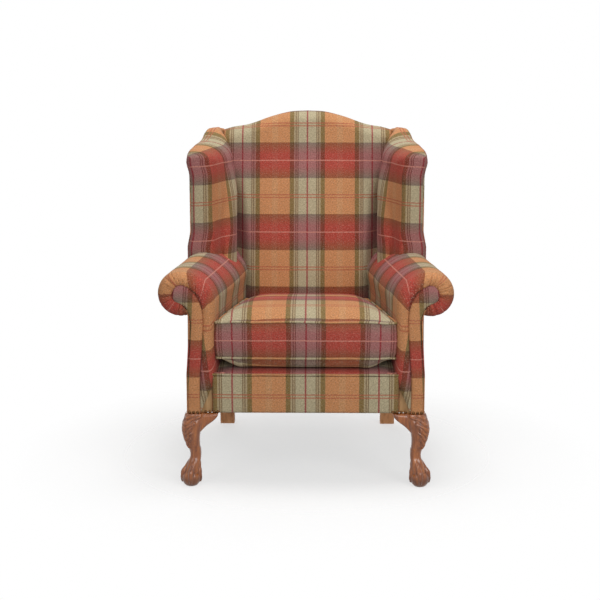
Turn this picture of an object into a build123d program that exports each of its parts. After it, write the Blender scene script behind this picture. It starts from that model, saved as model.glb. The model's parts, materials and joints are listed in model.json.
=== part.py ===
from build123d import *
import os
from math import cos, hypot, pi, sin, sqrt

# A high wing chair with scroll arms, a camel back, one loose seat cushion and cabriole front legs.
# Millimetres. X runs across, +Y runs back and +Z up; the chair faces -Y and stands on Z = 0.
# Depths are distances behind the front face of the seat border. Each side piece is drawn on the +X
# side and mirrored, and "left" and "right" are as a person who faces the chair sees them.

# ---- Driving sizes: frame
leg_height = 216.0  # underside of the frame
rail_height = 100.0
rail_thickness = 30.0
side_rail_thickness = 28.0
post_width = 47.0
post_depth = 40.0
stump_thickness = 30.0
frame_side_front = 334.0  # outer plane of the arm frame, half width at the front face
frame_side_rear = 296.0  # the same at the back posts
post_rake = 0.114  # how far the posts lean back for each unit of height
leg_splay = 55.0  # how far the rear soles stand behind the frame's underside
post_drop = 19.0  # post tops below the foot of the camel
top_rail_depth = 67.0  # underside of the top rail below the foot of the camel
arm_rail_width = 58.0
arm_rail_height = 40.0
cross_rail_height = 50.0
cross_rail_bottom = 372.0
wing_post_size = 28.0
wing_rail_height = 40.0
strap_count = 5
strap_width = 50.0
strap_thickness = 1.6
dowel_diameter = 10.0
dowel_length = 60.0
stump_dowel_bite = 18.0  # how far a front rail's dowel goes into the stump
screw_diameter = 4.5
screw_length = 46.0
screw_head_height = 3.0
screw_spacing = 20.0  # between the two screws of a block, in height
screw_set_in = 24.0  # from the rails' inner faces to the screw heads
corner_block_leg = 70.0
bolt_diameter = 8.0
bolt_length = 62.0
bolt_bite = 16.0  # how far the bolt goes up into the stump

# ---- Driving sizes: seat and cushion
spring_wire = 4.0
spring_count = 5
spring_waves = 8
spring_width = 48.0
clip_thickness = 1.2
lining_thickness = 1.5
deck_thickness = 30.0
seat_half_front = 262.0  # half width of the cushion over its piping, at its front
seat_half_rear = 205.0
cushion_depth = 520.0
cushion_under_crown = 29.0  # deck to the lower piping
boxing_height = 106.0  # lower piping to upper piping
cushion_top_crown = 27.0
cushion_corner = 16.0
boxing_bulge = 4.0
side_draw = 4.0  # how far the front and the sides pull in between their corners
cover_thickness = 2.0

# ---- Driving sizes: upholstery
border_half_width = 270.7
border_padding = 14.0
piping_diameter = 6.4
panel_thickness = 4.0
facing_thickness = 8.0
arm_height = 627.0
roll_radius_front = 65.0
roll_radius_rear = 50.0
roll_overhang_front = 24.0  # centre of the roll outside the frame's side plane
roll_overhang_rear = 14.0
arm_front_round = 30.0
arm_shoulder_drop = 92.0
back_padding = 66.0  # inside back in front of the posts, below its bend
back_bend_height = 500.0
back_rake = 0.2
back_half_low = 206.0  # half width of the inside back at deck level
back_half_high = 273.0  # and at the foot of the camel
camel_height = 1058.0
camel_rise = 61.0  # crown above the foot of the camel
camel_inflection = 150.0
camel_inflection_drop = 28.5  # below the crown
back_top_round = 22.0
wing_front_depth = 372.0
wing_front_half = 369.0
wing_rear_half = 298.0
wing_roll = 55.0
wing_bulge_half = 222.0
wing_top_rise = 80.0  # from the front corner of the wing's top to its rear
wing_over_camel = 9.0  # wing's rear above the foot of the camel

# ---- Driving sizes: legs, nails and zip
knee_half = 29.0
ankle_half = 16.0
knee_set = 17.0  # how far the head of the leg stands inside its foot
ball_radius = 29.0
claw_radius = 7.0
ear_length = 86.0
ear_thickness = 24.0
staple_pitch = 44.0
staple_width = 10.0
staple_gauge = 1.0
staple_stand = 0.7  # how far a staple stands below the dust cover
staple_drop = 0.8  # dust cover's underside below the rails
staple_inset_front = 16.0
staple_inset_rear = 12.0
nail_diameter = 9.0
nail_pitch = 11.6
zip_length = 380.0
zip_tape_height = 24.0
zip_slider_length = 12.0
zip_end_stop = 8.0

# ---- Clearances
gap = 0.3
cushion_side_gap = 1.5
cushion_deck_gap = 0.3
cushion_back_gap = 4.0

# ---- Heights and depths that follow from the sizes above
back_face_depth = cushion_depth + cushion_back_gap  # front of the inside back below its bend
frame_depth = back_face_depth + back_padding  # front of the back posts at rail height
camel_end_height = camel_height - camel_rise
camel_inflection_height = camel_height - camel_inflection_drop
post_top = camel_end_height - post_drop
top_rail_bottom = camel_end_height - top_rail_depth
wing_rear_height = camel_end_height + wing_over_camel
wing_corner_height = wing_rear_height - wing_top_rise
rail_top = leg_height + rail_height
clip_top = rail_top + spring_wire + 2 * gap + clip_thickness
lining_bottom = clip_top + gap
deck_bottom = lining_bottom + lining_thickness
deck_top = deck_bottom + deck_thickness
cushion_bottom = deck_top + cushion_deck_gap
lower_piping = cushion_bottom + cushion_under_crown
upper_piping = lower_piping + boxing_height
cushion_top = upper_piping + cushion_top_crown
stump_front = border_padding
stump_rear = stump_front + stump_thickness
piping_radius = piping_diameter / 2
piping_stand = piping_radius + gap
cushion_inset = piping_diameter + 2 * gap  # from the outside of the piping in to the cover
border_top = rail_top + border_padding - piping_stand
seat_taper = (seat_half_front - seat_half_rear) / cushion_depth
side_taper = (frame_side_front - frame_side_rear) / frame_depth
back_half_spread = (back_half_high - back_half_low) / (camel_end_height - deck_top)
rear_edge_top = frame_depth + post_rake * (camel_height - rail_top) + post_depth
rear_reach = rear_edge_top + piping_stand + piping_radius
wing_taper = (wing_front_half - wing_rear_half) / (rear_edge_top - wing_front_depth)
foot_centre_x = frame_side_front - 1.5
foot_depth = 1.0  # centre of the foot behind the front face
talon_reach = ball_radius * 1.08
toe_reach = max(talon_reach * sqrt(0.5) + claw_radius, ball_radius) - foot_depth
front_y = (toe_reach - rear_reach) / 2
far = 2000.0  # reach of the cutting blocks, past every side


def at(x, depth, z):
    """A point from its distance across, depth behind the front face and height."""
    return Vector(x, front_y + depth, z)


def block(x0, x1, depth0, depth1, z0, z1):
    """An upright block between two limits in each direction."""
    size = Box(x1 - x0, depth1 - depth0, z1 - z0)
    return size.moved(Location(at((x0 + x1) / 2, (depth0 + depth1) / 2, (z0 + z1) / 2)))


def polygon(points):
    return Wire.make_polygon([at(*p) for p in points], close=True)


def loft_points(*sections):
    """A ruled solid through polygons that have as many corners each."""
    return Solid.make_loft([polygon(s) for s in sections], ruled=True)


def across(profile, half_width):
    """A solid from a side profile of (depth, z), as wide as asked on both sides of the middle."""
    return loft_points([(-half_width, d, z) for d, z in profile], [(half_width, d, z) for d, z in profile])


def both_sides(shape):
    return shape, shape.mirror(Plane.YZ)


def less(shape, *tools):
    """The shape with the tools cut out of it, as a list of solids."""
    return Compound(list(shape.solids())).cut(*tools).solids()


def save(name, *shapes):
    solids = [s for shape in shapes for s in shape.solids()]
    export_step(solids[0] if len(solids) == 1 else Compound(solids), f"parts/{name}.step")


def save_pair(name, shape):
    """Writes the +X piece as the right one and its mirror image as the left one."""
    whole = Compound(list(shape.solids()))
    right, left = both_sides(whole)
    save(f"{name}_right", right)
    save(f"{name}_left", left)


# ---- Planes and surfaces that several pieces share


def side_plane(depth):
    """Half width of the arm frame's outer plane."""
    return frame_side_front - side_taper * depth


def seat_side(depth):
    """Half width of the seat between the inside arms."""
    return seat_half_front - seat_taper * depth + cushion_side_gap


def post_front(z):
    """Depth of the back frame's front plane, upright up to the top of the rails."""
    return frame_depth + post_rake * max(z - rail_top, 0)


def post_rear(z):
    return post_front(z) + post_depth


def back_face(z):
    """Depth of the inside back's front face."""
    return back_face_depth + back_rake * max(z - back_bend_height, 0)


def back_half(z):
    """Half width of the inside back."""
    return back_half_low + back_half_spread * (z - deck_top)


def wing_plane(depth):
    """Half width of the wing's flat outer face."""
    return wing_front_half - wing_taper * (depth - wing_front_depth)


def behind(surface):
    """Everything behind a plane of the back frame."""
    low = -10.0
    edge = [(surface(low), low), (surface(rail_top), rail_top), (surface(far), far)]
    return across([*edge, (far, far), (far, low)], far)


def side_slab(inner, outer, depth0, depth1, z0, z1):
    """A slab along the arm frame between two distances inside its outer plane."""

    def corners(z):
        return [
            (side_plane(depth0) - outer, depth0, z),
            (side_plane(depth0) - inner, depth0, z),
            (side_plane(depth1) - inner, depth1, z),
            (side_plane(depth1) - outer, depth1, z),
        ]

    return loft_points(corners(z0), corners(z1))


behind_frame = behind(post_front)
behind_chair = behind(post_rear)


# ---- Frame


def back_post():
    """One timber from the rear sole to the wing top: splayed leg, upright foot of the back, raked back."""
    sole = frame_depth + leg_splay
    profile = [
        (sole, 0),
        (sole + post_depth, 0),
        (post_rear(leg_height), leg_height),
        (post_rear(rail_top), rail_top),
        (post_rear(post_top), post_top),
        (post_front(post_top), post_top),
        (post_front(rail_top), rail_top),
        (post_front(leg_height), leg_height),
    ]
    outer = frame_side_rear
    inner = outer - post_width
    return loft_points([(inner, d, z) for d, z in profile], [(outer, d, z) for d, z in profile])


def camel_points(drop=0.0, half=None):
    """Corner and arc points (x, z) of the camel top: foot, inflection, crown, inflection, foot."""
    foot = half if half is not None else back_half_high
    run, fall = foot - camel_inflection, camel_inflection_height - camel_end_height
    slope = hypot(run, fall)
    sag = 0.03 * slope
    mid = (camel_inflection + run / 2 - sag * fall / slope, camel_inflection_height - fall / 2 - sag)
    right = [(foot, camel_end_height), mid, (camel_inflection, camel_inflection_height)]
    points = right + [(0.0, camel_height)] + [(-x, z) for x, z in reversed(right)]
    return [(x, z - drop) for x, z in points]


def camel_edges(surface, drop=0.0, half=None, offset=0.0):
    """The three arcs of the camel top, laid on a plane of the back."""
    p = [at(x, surface(z) + offset, z) for x, z in camel_points(drop, half)]
    return [Edge.make_three_point_arc(p[i], p[i + 1], p[i + 2]) for i in (0, 2, 4)]


def camel_outline(surface, bottom, half_low, drop=0.0, half=None, offset=0.0):
    """A closed outline: camel top, straight sides and a flat bottom."""
    arcs = camel_edges(surface, drop, half, offset)
    left, right = arcs[-1] @ 1, arcs[0] @ 0
    depth = surface(bottom) + offset
    foot_l, foot_r = at(-half_low, depth, bottom), at(half_low, depth, bottom)
    sides = [Edge.make_line(left, foot_l), Edge.make_line(foot_l, foot_r), Edge.make_line(foot_r, right)]
    return Wire(arcs + sides)


def top_rail():
    """The shaped board between the posts that carries the camel top."""
    inner = frame_side_rear - post_width
    drop = border_padding
    board = Solid.make_loft(
        [
            camel_outline(post_front, top_rail_bottom, back_half_high, drop),
            camel_outline(post_rear, top_rail_bottom, back_half_high, drop),
        ],
        ruled=True,
    )
    inside = block(-inner, inner, 0, far, 0, far)
    return Compound(board.solids()).intersect(inside).solids()


def cross_rail(bottom, height, thickness):
    inner = frame_side_rear - post_width
    d0, d1 = post_front(bottom), post_front(bottom + height)
    top = bottom + height
    return across([(d0, bottom), (d0 + thickness, bottom), (d1 + thickness, top), (d1, top)], inner)


def facing_corners(grow=0.0):
    """Control corners (x, z) of the arm facing, from its outer foot round the scroll to its inner foot."""
    outer = frame_side_front + panel_thickness + 0.6
    inner = side_plane(stump_rear) - side_rail_thickness - 0.5
    eye_x = frame_side_front + roll_overhang_front
    eye_z = arm_height - roll_radius_front
    corners = [
        (outer, leg_height),
        (outer, rail_top + 20),
        (outer - 10, arm_height - 207),
        (outer - 8, eye_z - 58),
        (eye_x - 14, eye_z - 27),
        (eye_x + 24, eye_z - 27),
        (eye_x + 24, eye_z + 28),
        (eye_x - 38, eye_z + 28),
        (inner - 12, eye_z - 18),
        (inner - 11, eye_z - 83),
        (inner, rail_top + 14),
        (inner, leg_height),
    ]
    return offset_corners(corners, grow)


def offset_corners(corners, grow):
    """An open polyline of (x, z) moved sideways, to its right-hand side as it is drawn."""
    if not grow:
        return corners
    lines = []
    for (x0, z0), (x1, z1) in zip(corners, corners[1:]):
        run, rise = x1 - x0, z1 - z0
        reach = hypot(run, rise)
        nx, nz = rise / reach * grow, -run / reach * grow
        lines.append(((x0 + nx, z0 + nz), (x1 + nx, z1 + nz)))
    moved = [lines[0][0]]
    for (a, b), (c, d) in zip(lines, lines[1:]):
        moved.append(crossing(a, b, c, d))
    return moved + [lines[-1][1]]


def crossing(a, b, c, d):
    """Where the line through a and b meets the line through c and d."""
    ux, uz, vx, vz = b[0] - a[0], b[1] - a[1], d[0] - c[0], d[1] - c[1]
    t = ((c[0] - a[0]) * vz - (c[1] - a[1]) * vx) / (ux * vz - uz * vx)
    return (a[0] + ux * t, a[1] + uz * t)


facing_radii = [60, 80, 30, 6, 24, 24, 26, 26, 80, 80]


def facing_board(depth0, depth1, grow=0.0):
    """A board of the facing's outline between two depths."""
    path = FilletPolyline(*[at(x, depth0, z) for x, z in facing_corners(grow)], radius=facing_radii)
    edges = list(path.edges())
    edges.append(Edge.make_line(path @ 1, path @ 0))
    return Solid.extrude(Face(Wire(edges)), Vector(0, depth1 - depth0, 0))


def arm_stump():
    """The shaped front post that the facing and the side rail are fixed to."""
    board = facing_board(stump_front, stump_rear, -2.0)
    outside = side_slab(-far / 4, 0, 0, stump_rear + 10, 0, outside_arm_top(0))
    return Compound(less(board, outside))


def side_rail():
    return less(side_slab(0, side_rail_thickness, stump_rear, far / 2, leg_height, rail_top), behind_frame)


arm_rail_top = arm_height - 42.0
arm_rail_outset = arm_rail_width - side_rail_thickness


def arm_rail():
    low = arm_rail_top - arm_rail_height
    bar = side_slab(-arm_rail_outset, side_rail_thickness, stump_rear, far / 2, low, arm_rail_top)
    return less(bar, behind_frame)


def arm_lining():
    """Stiffened cloth between the arm rail and the side rail, behind the inside arm."""
    inner = side_rail_thickness + lining_thickness
    low, high = rail_top - 8, arm_rail_top - 4
    return less(side_slab(side_rail_thickness, inner, stump_rear, far / 2, low, high), behind_frame)


wing_post_front = wing_front_depth + 16.0
wing_post_rear = wing_post_front + wing_post_size
wing_post_top = wing_corner_height - 21.0


def wing_post():
    """The front post of the wing frame, leaning out from the arm rail."""
    arm_rail_side = side_plane(wing_post_rear) + arm_rail_outset
    wing_side = wing_plane(wing_post_rear)
    foot_outer = min(arm_rail_side, wing_side) - 1.0
    head_outer = wing_side - 1.0

    def corners(outer, z):
        inner = outer - wing_post_size
        return [
            (inner, wing_post_front, z),
            (outer, wing_post_front, z),
            (outer, wing_post_rear, z),
            (inner, wing_post_rear, z),
        ]

    return loft_points(corners(foot_outer, arm_rail_top), corners(head_outer, wing_post_top))


def wing_rail():
    """The rail from the head of the wing post back to the back post."""
    head_outer = wing_plane(wing_post_rear) - 1.0
    rise = 62.0
    rear = post_front(wing_post_top + rise)
    reach = rear + post_depth

    def corners(depth, outer, top):
        inner = outer - wing_post_size
        low = top - wing_rail_height
        return [(inner, depth, low), (outer, depth, low), (outer, depth, top), (inner, depth, top)]

    grow = (reach - wing_post_rear) / (rear - wing_post_rear)
    end_outer = head_outer + (frame_side_rear - head_outer) * grow
    end_top = wing_post_top + rise * grow
    bar = loft_points(corners(wing_post_rear, head_outer, wing_post_top), corners(reach, end_outer, end_top))
    return less(bar, behind_frame)


def corner_block_outline(front):
    """Plan corners (x, depth) of a triangular block in a corner of the seat frame."""
    corner = stump_rear if front else frame_depth
    along = corner + corner_block_leg if front else corner - corner_block_leg
    inner, side_end = [side_plane(depth) - side_rail_thickness for depth in (corner, along)]
    square, across_end, side_tip = (inner, corner), (inner - corner_block_leg, corner), (side_end, along)
    return [square, across_end, side_tip] if front else [square, side_tip, across_end]


def corner_block(front):
    low, high = leg_height + 20, rail_top - 10
    plan = corner_block_outline(front)
    return loft_points([(x, d, low) for x, d in plan], [(x, d, high) for x, d in plan])


def rod(start, direction, length, diameter):
    """A cylinder from a point (x, depth, z) along a direction."""
    return Solid.make_cylinder(diameter / 2, length, Plane(origin=at(*start), z_dir=direction))


def frame_dowels():
    """Dowels across the end joints of each rail, on the +X side."""
    inner = frame_side_rear - post_width
    stump_inner = facing_corners(-2.0)[-1][0]
    mid = stump_front + rail_thickness / 2
    half = dowel_length / 2
    rear_mid = frame_depth + rail_thickness / 2
    starts = []
    for z in seat_dowel_heights():
        starts += [(stump_inner - dowel_length + stump_dowel_bite, mid, z), (inner - half, rear_mid, z)]
    for low, height in ((cross_rail_bottom, cross_rail_height), (top_rail_bottom, cross_rail_height)):
        for share in (0.3, 0.7):
            z = low + height * share
            starts.append((inner - half, post_front(z) + rail_thickness / 2, z))
    return [rod(start, Vector(1, 0, 0), dowel_length, dowel_diameter) for start in starts]


def seat_dowel_heights():
    return [leg_height + rail_height * share for share in (0.25, 0.62)]


def block_screws():
    """Two screws through each corner block, one into each rail, on the +X side."""
    head = screw_diameter * 2
    z0 = leg_height + rail_height / 2
    low, high = z0 - screw_spacing / 2, z0 + screw_spacing / 2
    front_x = side_plane(stump_rear) - side_rail_thickness - screw_set_in
    rear_x = side_plane(frame_depth) - side_rail_thickness - screw_set_in
    starts = [
        ((front_x, stump_rear + screw_set_in, low), Vector(0, -1, 0)),
        ((front_x, stump_rear + screw_set_in, high), Vector(1, 0, 0)),
        ((rear_x, frame_depth - screw_set_in, low), Vector(0, 1, 0)),
        ((rear_x, frame_depth - screw_set_in, high), Vector(1, 0, 0)),
    ]
    screws = []
    for start, direction in starts:
        origin = at(*start)
        plane = Plane(origin=origin, z_dir=direction)
        cap = Solid.make_cylinder(head / 2, screw_head_height, plane)
        shank = Solid.make_cylinder(screw_diameter / 2, screw_length, plane)
        screws.append(cap.fuse(shank))
    return screws


def leg_bolt():
    """The hanger bolt that draws the front leg up to the stump."""
    x = frame_side_front - 17.0
    foot = leg_height + bolt_bite - bolt_length
    return rod((x, stump_front + stump_thickness / 2, foot), Vector(0, 0, 1), bolt_length, bolt_diameter)


# ---- Seat platform


def zigzag_spring(x):
    """A flat zigzag spring from the front rail to the rear rail."""
    z = rail_top + spring_wire / 2 + gap
    start, end = stump_front + 12, frame_depth + 18
    pitch = (end - start) / (2 * spring_waves + 2)
    half = spring_width / 2
    points = [(x, start), (x, start + pitch)]
    for i in range(2 * spring_waves):
        side = half if i % 2 else -half
        points.append((x + side, start + pitch * (i + 1)))
        if i < 2 * spring_waves - 1:
            points.append((x + side, start + pitch * (i + 2)))
    points += [(x, end - pitch * 1.0), (x, end)]
    clean = [points[0]]
    for p in points[1:]:
        if hypot(p[0] - clean[-1][0], p[1] - clean[-1][1]) > 0.5:
            clean.append(p)
    path = FilletPolyline(*[at(px, d, z) for px, d in clean], radius=pitch * 0.42)
    section = Plane(origin=path @ 0, z_dir=path % 0) * Circle(spring_wire / 2)
    return sweep(section, path=path)


def spring_positions():
    spread = seat_side(frame_depth) - spring_width
    return [spread * (2 * i / (spring_count - 1) - 1) for i in range(spring_count)]


def spring_clips():
    """Small plates that hold both ends of each spring on the rails."""
    tunnel = spring_wire / 2 + gap
    clips = []
    for x in spring_positions():
        for depth in (stump_front + 13, frame_depth + 7):
            plate = block(x - 8, x + 8, depth, depth + 10, rail_top, clip_top)
            slot = block(x - tunnel, x + tunnel, depth - 5, depth + 15, rail_top, clip_top - clip_thickness)
            clips.extend(less(plate, slot))
    return clips


def seat_plan(depth0, depth1, inset):
    """Corners of the seat platform between the inside arms."""
    front, rear = seat_side(depth0) - inset, seat_side(depth1) - inset
    return [(-front, depth0), (front, depth0), (rear, depth1), (-rear, depth1)]


def seat_lining():
    plan = seat_plan(stump_front, back_face_depth - gap, 2 * gap)
    return loft_points([(x, d, lining_bottom) for x, d in plan], [(x, d, deck_bottom) for x, d in plan])


def seat_deck():
    """The padded platform under the cushion, rounded down to the border at its front."""
    start, end = piping_stand * 2, back_face_depth - gap
    nose = start + 34
    inset = 2 * gap
    profile = [(border_padding, deck_bottom), (border_padding, border_top), (start, border_top)]
    profile += [(start, border_top + piping_diameter), (nose - 18, deck_top - 5), (nose, deck_top)]
    profile += [(end, deck_top), (end, deck_bottom)]
    whole = across(profile, far / 2)
    plan = seat_plan(start - 1, end + 1, inset)
    sides = loft_points([(x, d, 0) for x, d in plan], [(x, d, far) for x, d in plan])
    return Compound(whole.solids()).intersect(sides).solids()


def dust_cover():
    """The thin cloth under the seat, cut out round the front legs."""
    low, high = leg_height - staple_drop, leg_height
    front, rear = stump_front + 8, frame_depth - 6
    inset = side_rail_thickness / 2
    plan = [
        (-side_plane(front) + inset, front),
        (side_plane(front) - inset, front),
        (side_plane(rear) - inset, rear),
        (-side_plane(rear) + inset, rear),
    ]
    cloth = loft_points([(x, d, low) for x, d in plan], [(x, d, high) for x, d in plan])
    reach = ear_length + 30
    corner = block(frame_side_front - reach, frame_side_front, -reach, reach + 6, 0, far)
    return less(cloth, *both_sides(corner))


def dust_cover_staples():
    """Staples along the back and the front of the dust cover."""
    staples = []
    top = leg_height - staple_drop
    half = staple_width / 2
    for i in range(-4, 5):
        for depth in (stump_front + staple_inset_front, frame_depth - staple_inset_rear):
            x = staple_pitch * i
            staples.append(block(x - half, x + half, depth, depth + staple_gauge, top - staple_stand, top))
    return staples


# ---- Inside back


def inside_back_form():
    """The whole padded back: raked face, camel top rounded over to the rear."""
    steps = [(0.0, back_top_round * 0.9), (back_top_round * 0.3, back_top_round * 0.3), (back_top_round, 0.0)]
    bend = back_bend_height
    upper = [camel_outline(back_face, bend, back_half(bend), drop, None, t) for t, drop in steps]
    upper.append(camel_outline(post_rear, bend, back_half(bend)))
    top = Solid.make_loft(upper, ruled=True)

    def plan(z):
        half, near, away = back_half(z), back_face_depth, post_rear(z)
        return [(-half, near, z), (half, near, z), (half, away, z), (-half, away, z)]

    bottom = loft_points(plan(deck_bottom), plan(bend))
    return top.fuse(bottom)


def back_bay():
    """The open space between the posts, behind the inside back and under the top rail."""
    inner = frame_side_rear - post_width
    space = block(-inner, inner, 0, far, 0, top_rail_bottom)
    return Compound([space.solids()[0]]).intersect(behind_frame).solids()


def back_webbing():
    """Elastic straps between the posts, flush with their front faces."""
    inner = frame_side_rear - post_width
    straps = []
    first = cross_rail_bottom + cross_rail_height + strap_width / 2
    step = (top_rail_bottom - strap_width - first) / (strap_count - 0.5)
    for i in range(strap_count):
        low = first + step * i
        high = low + strap_width
        d0, d1 = post_front(low), post_front(high)
        profile = [(d0, low), (d0 + strap_thickness, low), (d1 + strap_thickness, high), (d1, high)]
        straps.append(across(profile, inner))
    return straps


def outside_back():
    """The panel that closes the back, from the rails to the camel top."""
    half = frame_side_rear + panel_thickness + 1.0
    low, high = leg_height, camel_height
    front = [(post_rear(low), low), (post_rear(rail_top), rail_top), (post_rear(high), high)]
    rear = [(d + panel_thickness, z) for d, z in reversed(front)]
    sheet = across(front + rear, half)
    inset = 2 * piping_stand + gap
    middle = Solid.make_loft(
        [camel_outline(lambda z: depth, low - 10, back_half_high, inset) for depth in (0.0, far)],
        ruled=True,
    )
    foot, bottom = back_half_high, low - 10
    shoulders = both_sides(block(foot - 20, half + 20, -10, far, bottom, camel_end_height - inset - 6))
    ends = both_sides(block(foot + 4, half + 20, -10, far, bottom, wing_rear_height - inset))
    return Compound(sheet.solids()).intersect(middle.fuse(*shoulders, *ends)).solids()


def swept_cord(path, radius):
    section = Plane(origin=path @ 0, z_dir=path % 0) * Circle(radius)
    return sweep(section, path=path)


def back_piping():
    """The piping along the rear edge of the camel top, on the pad's rear face."""
    edges = camel_edges(post_rear, piping_stand, back_half_high - 1, piping_stand)
    return swept_cord(Wire(edges), piping_radius)


# ---- Arms


def arm_section(depth, inset, low):
    """Outline of the padded arm at one depth: outer plane, roll, shoulder, inner face, bottom."""
    full, over = roll_at(depth)
    radius = full - inset
    outer = side_plane(depth)
    cx = outer + over
    cz = arm_height - full
    inner = seat_side(depth) + inset
    under = cz - sqrt(radius**2 - over**2)
    shoulder = arm_height - inset - arm_shoulder_drop
    run, rise = cx - inner, arm_height - inset - shoulder
    k = sqrt(0.5)

    def line(a, b):
        return Edge.make_line(at(a[0], depth, a[1]), at(b[0], depth, b[1]))

    def arc(a, middle, b):
        return Edge.make_three_point_arc(*[at(x, depth, z) for x, z in (a, middle, b)])

    side, crown = (cx + radius, cz), (cx, cz + radius)
    return Wire(
        [
            line((outer, low), (outer, under)),
            arc((outer, under), (cx + radius * k, cz - radius * k), side),
            arc(side, (cx + radius * k, cz + radius * k), crown),
            arc(crown, (cx - run * k, shoulder + rise * k), (inner, shoulder)),
            line((inner, shoulder), (inner, low)),
            line((inner, low), (outer, low)),
        ]
    )


def arm_form():
    """The arm's whole padded shape, with its rounded front and cut flush at the back of the chair."""
    r = arm_front_round
    fronts = [0.0, r * 0.17, r * 0.45]
    sections = [arm_section(d, r - sqrt(r**2 - (r - d) ** 2), leg_height) for d in fronts]
    sections.append(arm_section(r, 0.0, leg_height))
    sections.append(arm_section(frame_depth, 0.0, leg_height))
    front = Solid.make_loft(sections, ruled=True)
    last = arm_section(frame_depth, 0.0, leg_height)
    rear = Solid.extrude(Face(last), Vector(0, rear_reach - frame_depth, 0))
    return less(front.fuse(rear), behind_chair)


def border_pad():
    return block(-border_half_width, border_half_width, 0, border_padding, leg_height, border_top)


def border_piping():
    """The piping along the top edge of the seat border, from arm to arm."""
    half = border_half_width - 3.0
    return rod((-half, piping_stand, border_top + piping_stand), Vector(1, 0, 0), 2 * half, piping_diameter)


def arm_pad(form, tools):
    """The stuffed arm: its form less the frame inside it and the hollow behind its lining."""
    skin = side_rail_thickness + lining_thickness
    hollow = side_slab(-1, skin, stump_rear, far / 2, 0, outside_arm_top(0))
    lining_slot = side_slab(side_rail_thickness, skin, stump_rear, far / 2, rail_top, arm_rail_top - 4)

    def plan(z):
        near, away = side_plane(stump_front) - side_rail_thickness, side_plane(far / 2) - side_rail_thickness
        return [(0, stump_front, z), (near, stump_front, z), (away, far / 2, z), (0, far / 2, z)]

    below_deck = loft_points(plan(0), plan(rail_top + 2))
    border = block(0, border_half_width + gap, -1, border_padding + gap, 0, border_top + piping_diameter + 2)
    return less(Compound(form), hollow, lining_slot, below_deck, border, *tools)


def roll_at(depth):
    """Radius of the arm's roll at one depth, and how far its centre stands outside the frame."""
    share = min(depth, frame_depth) / frame_depth
    radius = roll_radius_front + (roll_radius_rear - roll_radius_front) * share
    return radius, roll_overhang_front + (roll_overhang_rear - roll_overhang_front) * share


def outside_arm_top(depth):
    """Top of the outside arm panel, just under the roll."""
    radius, over = roll_at(depth)
    return arm_height - radius - sqrt(radius**2 - (over - panel_thickness) ** 2) - 1


def outside_arm():
    """The flat panel under the roll, from the facing to the back of the chair."""
    bend = frame_depth
    reach = rear_reach + 10

    def face(near, away, out):
        x0, x1 = side_plane(near) + out, side_plane(min(away, bend)) + out
        top0, top1 = outside_arm_top(near), outside_arm_top(away)
        return [(x0, near, leg_height), (x1, away, leg_height), (x1, away, top1), (x0, near, top0)]

    main, tail = [
        loft_points(face(near, away, 0.0), face(near, away, panel_thickness))
        for near, away in ((0, bend), (bend, reach))
    ]
    return less(main.fuse(tail), behind_chair)


def facing():
    """The padded panel that closes the front of the arm."""
    return facing_board(-facing_thickness, 0)


# ---- Wings


wing_fade_height = wing_corner_height - 126.0  # above this the wing's inner bulge dies away


def wing_section(z):
    """Plan outline of the padded wing at one height."""
    face = back_face(z)
    fade = min(max(z - wing_fade_height, 0.0) / (wing_rear_height - wing_fade_height), 1.0)
    bulge = wing_bulge_half + (back_half_high - 11 - wing_bulge_half) * fade**1.5
    edge = wing_front_depth + 10
    outer = wing_plane(edge)
    inside = back_half(z) + gap

    def p(x, depth):
        return at(x, depth, z)

    front_a, front_mid, front_b = p(outer, edge), p(outer - 22, edge - 16), p(outer - wing_roll, edge + 22)
    near, crown, join = p(bulge + 6, face - 55), p(bulge, face - 28), p(inside, face + 6)
    middle = p((outer - wing_roll + bulge + 6) / 2 - 4, (edge + 22 + face - 55) / 2 - 3)
    rear = post_rear(z)
    return Wire(
        [
            Edge.make_three_point_arc(front_a, front_mid, front_b),
            Edge.make_three_point_arc(front_b, middle, near),
            Edge.make_three_point_arc(near, crown, join),
            Edge.make_line(join, p(inside, rear)),
            Edge.make_line(p(inside, rear), p(wing_plane(rear), rear)),
            Edge.make_line(p(wing_plane(rear), rear), front_a),
        ]
    )


wing_top_radii = [260.0, 120.0, 60.0]


def wing_top_points(drop=0.0):
    """Corners (depth, z) of the wing's top line, from its front corner to the back."""
    front = wing_front_depth
    corner, rear = wing_corner_height, wing_rear_height
    rise = rear - corner
    end = post_rear(rear)
    run = end - front
    points = [
        (front + 8, corner),
        (front + run * 0.36, corner + rise * 0.2),
        (front + run * 0.67, corner + rise * 0.64),
        (front + run * 0.8, rear),
        (end, rear),
    ]
    return [(d, z - drop) for d, z in points]


def wing_top_block():
    """Everything above the wing's top line."""
    path = FilletPolyline(*[at(-far, d, z) for d, z in extended_top()], radius=wing_top_radii)
    edges = list(path.edges())
    a, b = path @ 0, path @ 1
    high_b, high_a = Vector(b.X, b.Y, far), Vector(a.X, a.Y, far)
    edges += [Edge.make_line(b, high_b), Edge.make_line(high_b, high_a), Edge.make_line(high_a, a)]
    return Solid.extrude(Face(Wire(edges)), Vector(2 * far, 0, 0))


def extended_top():
    """The top line run on past both ends."""
    points = wing_top_points()
    (d0, z0), (d1, z1) = points[0], points[1]
    slope = (z1 - z0) / (d1 - d0)
    reach = 120.0
    points[0] = (d0 - reach, z0 - reach * slope)
    points[-1] = (points[-1][0] + reach, points[-1][1])
    return points


wing_foot = arm_height - 37.0


def wing_form():
    fade = wing_rear_height - wing_fade_height
    heights = [wing_foot] + [wing_fade_height + fade * share for share in (0.0, 0.25, 0.5, 0.75, 1.05)]
    body = Solid.make_loft([wing_section(z) for z in heights], ruled=True)
    return less(body, wing_top_block(), behind_chair)


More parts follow.
